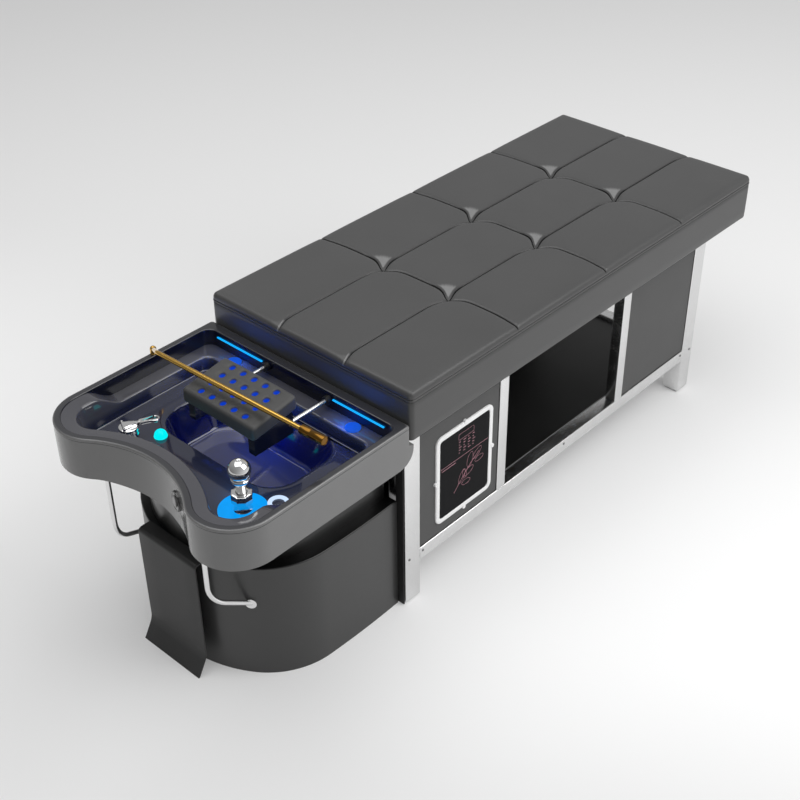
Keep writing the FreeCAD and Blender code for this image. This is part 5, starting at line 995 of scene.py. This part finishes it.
# Pedestal: a bent dark sheet skirt with a rounded top edge and a flat ledge, and on it the lower body of the
# basin, of the same round front. The skirt is open at the back, towards the bed.
pedestal_shares = [(1.0, 0.0), (0.879, 0.663), (0.827, 0.77), (0.527, 0.995), (0.272, 1.007), (0.0, 1.0)]


def arc_through(first, middle, last, count):
    """Points on the circle through three points, evenly spaced: its centre is where the bisectors meet."""
    (ax, ay), (bx, by), (cx, cy) = first, middle, last
    twice = 2 * (ax * (by - cy) + bx * (cy - ay) + cx * (ay - by))
    ux = ((ax ** 2 + ay ** 2) * (by - cy) + (bx ** 2 + by ** 2) * (cy - ay) + (cx ** 2 + cy ** 2) * (ay - by)) / twice
    uy = ((ax ** 2 + ay ** 2) * (cx - bx) + (bx ** 2 + by ** 2) * (ax - cx) + (cx ** 2 + cy ** 2) * (bx - ax)) / twice
    start, middle_turn, end = (math.atan2(y - uy, x - ux) for x, y in (first, middle, last))
    sweep = (end - start) % (2 * math.pi)
    if (middle_turn - start) % (2 * math.pi) > sweep:
        sweep -= 2 * math.pi
    turn = start + sweep * np.linspace(0, 1, count)
    return arc((ux, uy), math.hypot(ax - ux, ay - uy), turn)


def pedestal_plan(front_x, rear_x, half, grow):
    """The open plan from the rear left corner round the front to the rear right corner, moved out by grow along
    the normals: the normal is the direction between neighbours turned a quarter."""
    spots = np.array([(rear_x - (rear_x - front_x) * along, half * across) for along, across in pedestal_shares])
    front, bend, cheek, hip, flank, rear = spots
    _, other_bend, other_cheek, other_hip, other_flank, other_rear = spots * (1, -1)
    line = np.concatenate([arc_through(rear, flank, hip, 26), arc_through(hip, cheek, bend, 26)[1:],
                           arc_through(bend, front, other_bend, 41)[1:],
                           arc_through(other_bend, other_cheek, other_hip, 26)[1:],
                           arc_through(other_hip, other_flank, other_rear, 26)[1:]])
    heading = np.gradient(line, axis=0)
    normal = np.stack([-heading[:, 1], heading[:, 0]], axis=1) / np.linalg.norm(heading, axis=1)[:, None]
    return line + normal * grow if normal[len(line) // 2, 0] < 0 else line - normal * grow


def closed_plan(front_x, rear_x, half, grow):
    """The open plan closed by a straight rear edge, which moves out by grow too."""
    line = pedestal_plan(front_x, rear_x, half, grow)
    line[0, 0] = line[-1, 0] = rear_x + grow
    back = np.stack([np.full(14, rear_x + grow), np.linspace(line[-1, 1], line[0, 1], 16)[1:-1]], axis=1)
    return np.concatenate([line, back, line[:1]])


skirt_sizes, base_sizes = (-467.5, 10, 291), (-450, -2, 259)
skirt_low, skirt_high, skirt_top = 0, 342, 347
wall_heights = (skirt_low, 60, 150, 250, skirt_high)
skirt_wall_rows = [(0, z) for z in wall_heights] + [(-5, z) for z in wall_heights[::-1]] + [(0, skirt_low)]
skirt_wall_grid = np.stack([level_ring(pedestal_plan(*skirt_sizes, grow), z) for grow, z in skirt_wall_rows])
skirt_end_grids = [np.stack([skirt_wall_grid[:5, end], skirt_wall_grid[9:4:-1, end]]) for end in (0, -1)]
ledge_rows = [(0.0, skirt_high)] + [(-4 * (1 - math.cos(t)), skirt_top - 4 + 4 * math.sin(t))
                                    for t in np.linspace(0, math.pi / 2, 7)]
skirt_top_rows = [level_ring(closed_plan(*skirt_sizes, grow), z) for grow, z in ledge_rows]
base_hole = closed_plan(*base_sizes, -9)
ledge_edge = skirt_top_rows[-1][:, :2]
skirt_top_rows += [level_ring(ledge_edge * (1 - share) + base_hole * share, skirt_top) for share in (0.5, 1.0)]
skirt_top_rows += [level_ring(base_hole, skirt_high), skirt_top_rows[0]]
# The skirt's level colour paints it near black from its rounded top edge up over the ledge: painted shade under the
# basin.
skirt_black = gloss("skirt_black", tone(60), 0.34, coat=0.06, levels=((0.3425, 0.3455, tone(6)),))
build("pedestal_skirt_sheet", [skirt_wall_grid, *skirt_end_grids, np.stack(skirt_top_rows)], "bed", skirt_black,
      "pedestal_skirt", angle=40)
# Two near-black strips stand in the gap between the skirt's rear edges and the head legs: dark sheets put there as
# painted shade.
shade_strip_grids = [bar((11, low, 3), (15, low + 25, 497), 2, corner=1.5, edge=1.0) for low in (286, -311)]
build("pedestal_shade_strips", shade_strip_grids, "bed", paint("painted_shade_black", tone(5), 0.7, mottle=0.1, depth=0.02),
      slot="skirt_black")


def base_ring(grow, z):
    """The lower body's plan at a height, kept under the apron's round heel, 0.6 mm clear of it."""
    plan = closed_plan(*base_sizes, grow)
    heel = heel_z - np.sqrt(np.maximum(45.6 ** 2 - np.maximum(plan[:, 0] - heel_middle_x, 0) ** 2, 0))
    limit = np.where(plan[:, 0] > -36, heel, np.interp(plan[:, 0], [-48, -36], [524, 499]))
    return np.concatenate([plan, np.minimum(z, limit)[:, None]], axis=1)


base_rows = [base_ring(0, z) for z in (skirt_top, 380, 420, 460, 490, 510, 524)]
base_rows += [base_ring(-5, z) for z in (524, 480, 420, skirt_top)] + base_rows[:1]
# The lower body is near black at its foot and turns grey from 0.36 m up to 0.475 m: painted shade where it stands on
# the skirt under the apron.
base_grey = gloss("base_grey", tone(7), 0.34, coat=0.2, levels=((0.36, 0.475, tone(56)),))
build("basin_lower_body", [np.stack(base_rows)], "bed", base_grey, "basin_base", angle=40)

# Foot plate: one folded black sheet in front of the skirt. Its top flange sits on the skirt, and it flares
# out at the floor.
plate_outer = rounded_line([(-450.3, 351.3), (-488.5, 351.3), (-488.5, 52), (-518.5, 0)], [12, 60], 12)
plate_inner = rounded_line([(-450.3, 347.3), (-484.5, 347.3), (-484.5, 53), (-514.0, 0)], [8, 56], 12)
plate_loop = np.concatenate([plate_outer, plate_inner[::-1], plate_outer[:1]])
plate_middle = (plate_outer + plate_inner) / 2
plate_middle = np.concatenate([plate_middle, plate_middle[::-1], plate_middle[:1]])
plate_steps = [(105, 0.0), (105, 0.7), (104.6, 0.9), (103.6, 1.0), (50, 1.0)]
plate_rows = []
for plate_y, share in [(-y, share) for y, share in plate_steps] + [(0, 1.0)] + plate_steps[::-1]:
    section = plate_middle * (1 - share) + plate_loop * share
    plate_rows.append(level_ring(section, plate_y)[:, [0, 2, 1]])
plate_black = paint("plate_black", tone(54), 0.4, mottle=0.02, grain=700.0, depth=0.03, specular=0.3)
build("foot_plate_folded", [np.stack(plate_rows)], "bed", plate_black, "foot_plate", angle=40)

# Braces: two bent chrome rods from under the basin's front to the skirt, each with a round rosette there.
brace_grids = []
for side in (1, -1):
    foot = np.array([-410.0, side * 198.0, 241.0])
    corner = np.array([-507.0, side * 172.0, 295.0])
    skirt_entry = corner + (foot - corner) * 1.06
    brace_path = rounded_line([(-507.0, side * 172.0, 564.0), corner, skirt_entry], [80], 24)
    brace_path = np.concatenate([np.linspace(brace_path[0], brace_path[1], 12), brace_path[2:]])
    brace_grids.append(piped(brace_path, 6.5, (0.25, -1.0 * side, 0.0), 24))
build("basin_brace_rods", brace_grids, "bed", chrome, "basin_braces")
dress(chrome, "brace_rosettes")

# Push button: a dark moulded ring stands out of the notch face, with a plain grey button in it.
button_in = np.array([0.9358, -0.3525, 0.0])
button_in /= np.linalg.norm(button_in)
button_face = np.array([notch_centre_x, 0, 565.0]) + button_in * notch_radius
button_out = -button_in + (0.0, 0.0, face_out / face_drop)
# Each ring row is radius, height and mark: the ring's outer wall and rounded top, marked 1, take its dark colour, and
# its inner wall by the button, marked 0.3 to 0.5, is darkened part way as painted shade.
ring_line = [(13.3, -2, 0), (25, -2, 0), (25, 5.4, 1), (24.4, 7.0, 1), (22.6, 8, 1), (20.6, 7.8, 1), (20.2, 7.2, 1),
             (19.6, 6.9, 0), (15.2, 6.9, 0), (13.9, 6.4, 0.3), (13.3, 5, 0.5), (13.3, 2, 0.5), (13.3, -2, 0)]
ring_grid = turned([row[:2] for row in ring_line], button_face, button_out, 56)
button_dark = gloss("button_dark", tone(100), 0.2, coat=0.4, dark_and_shade_colour=tone(8))
build("button_ring_turned", [ring_grid], "bed", button_dark, "button_ring",
      marks=[np.repeat([row[2] for row in ring_line], ring_grid.shape[1])])
cap_line = [(0, 7.5), (12.6, 7.5), (12.6, 9.2), (11.8, 10.0), (10.0, 10.2), (0, 9.8)]
button_white = paint("button_white", tone(124), 0.3, coat=0.3, mottle=0.02)
build("push_button_cap", [turned(cap_line, button_face, button_out, 48)], "button", button_white, "push_button")
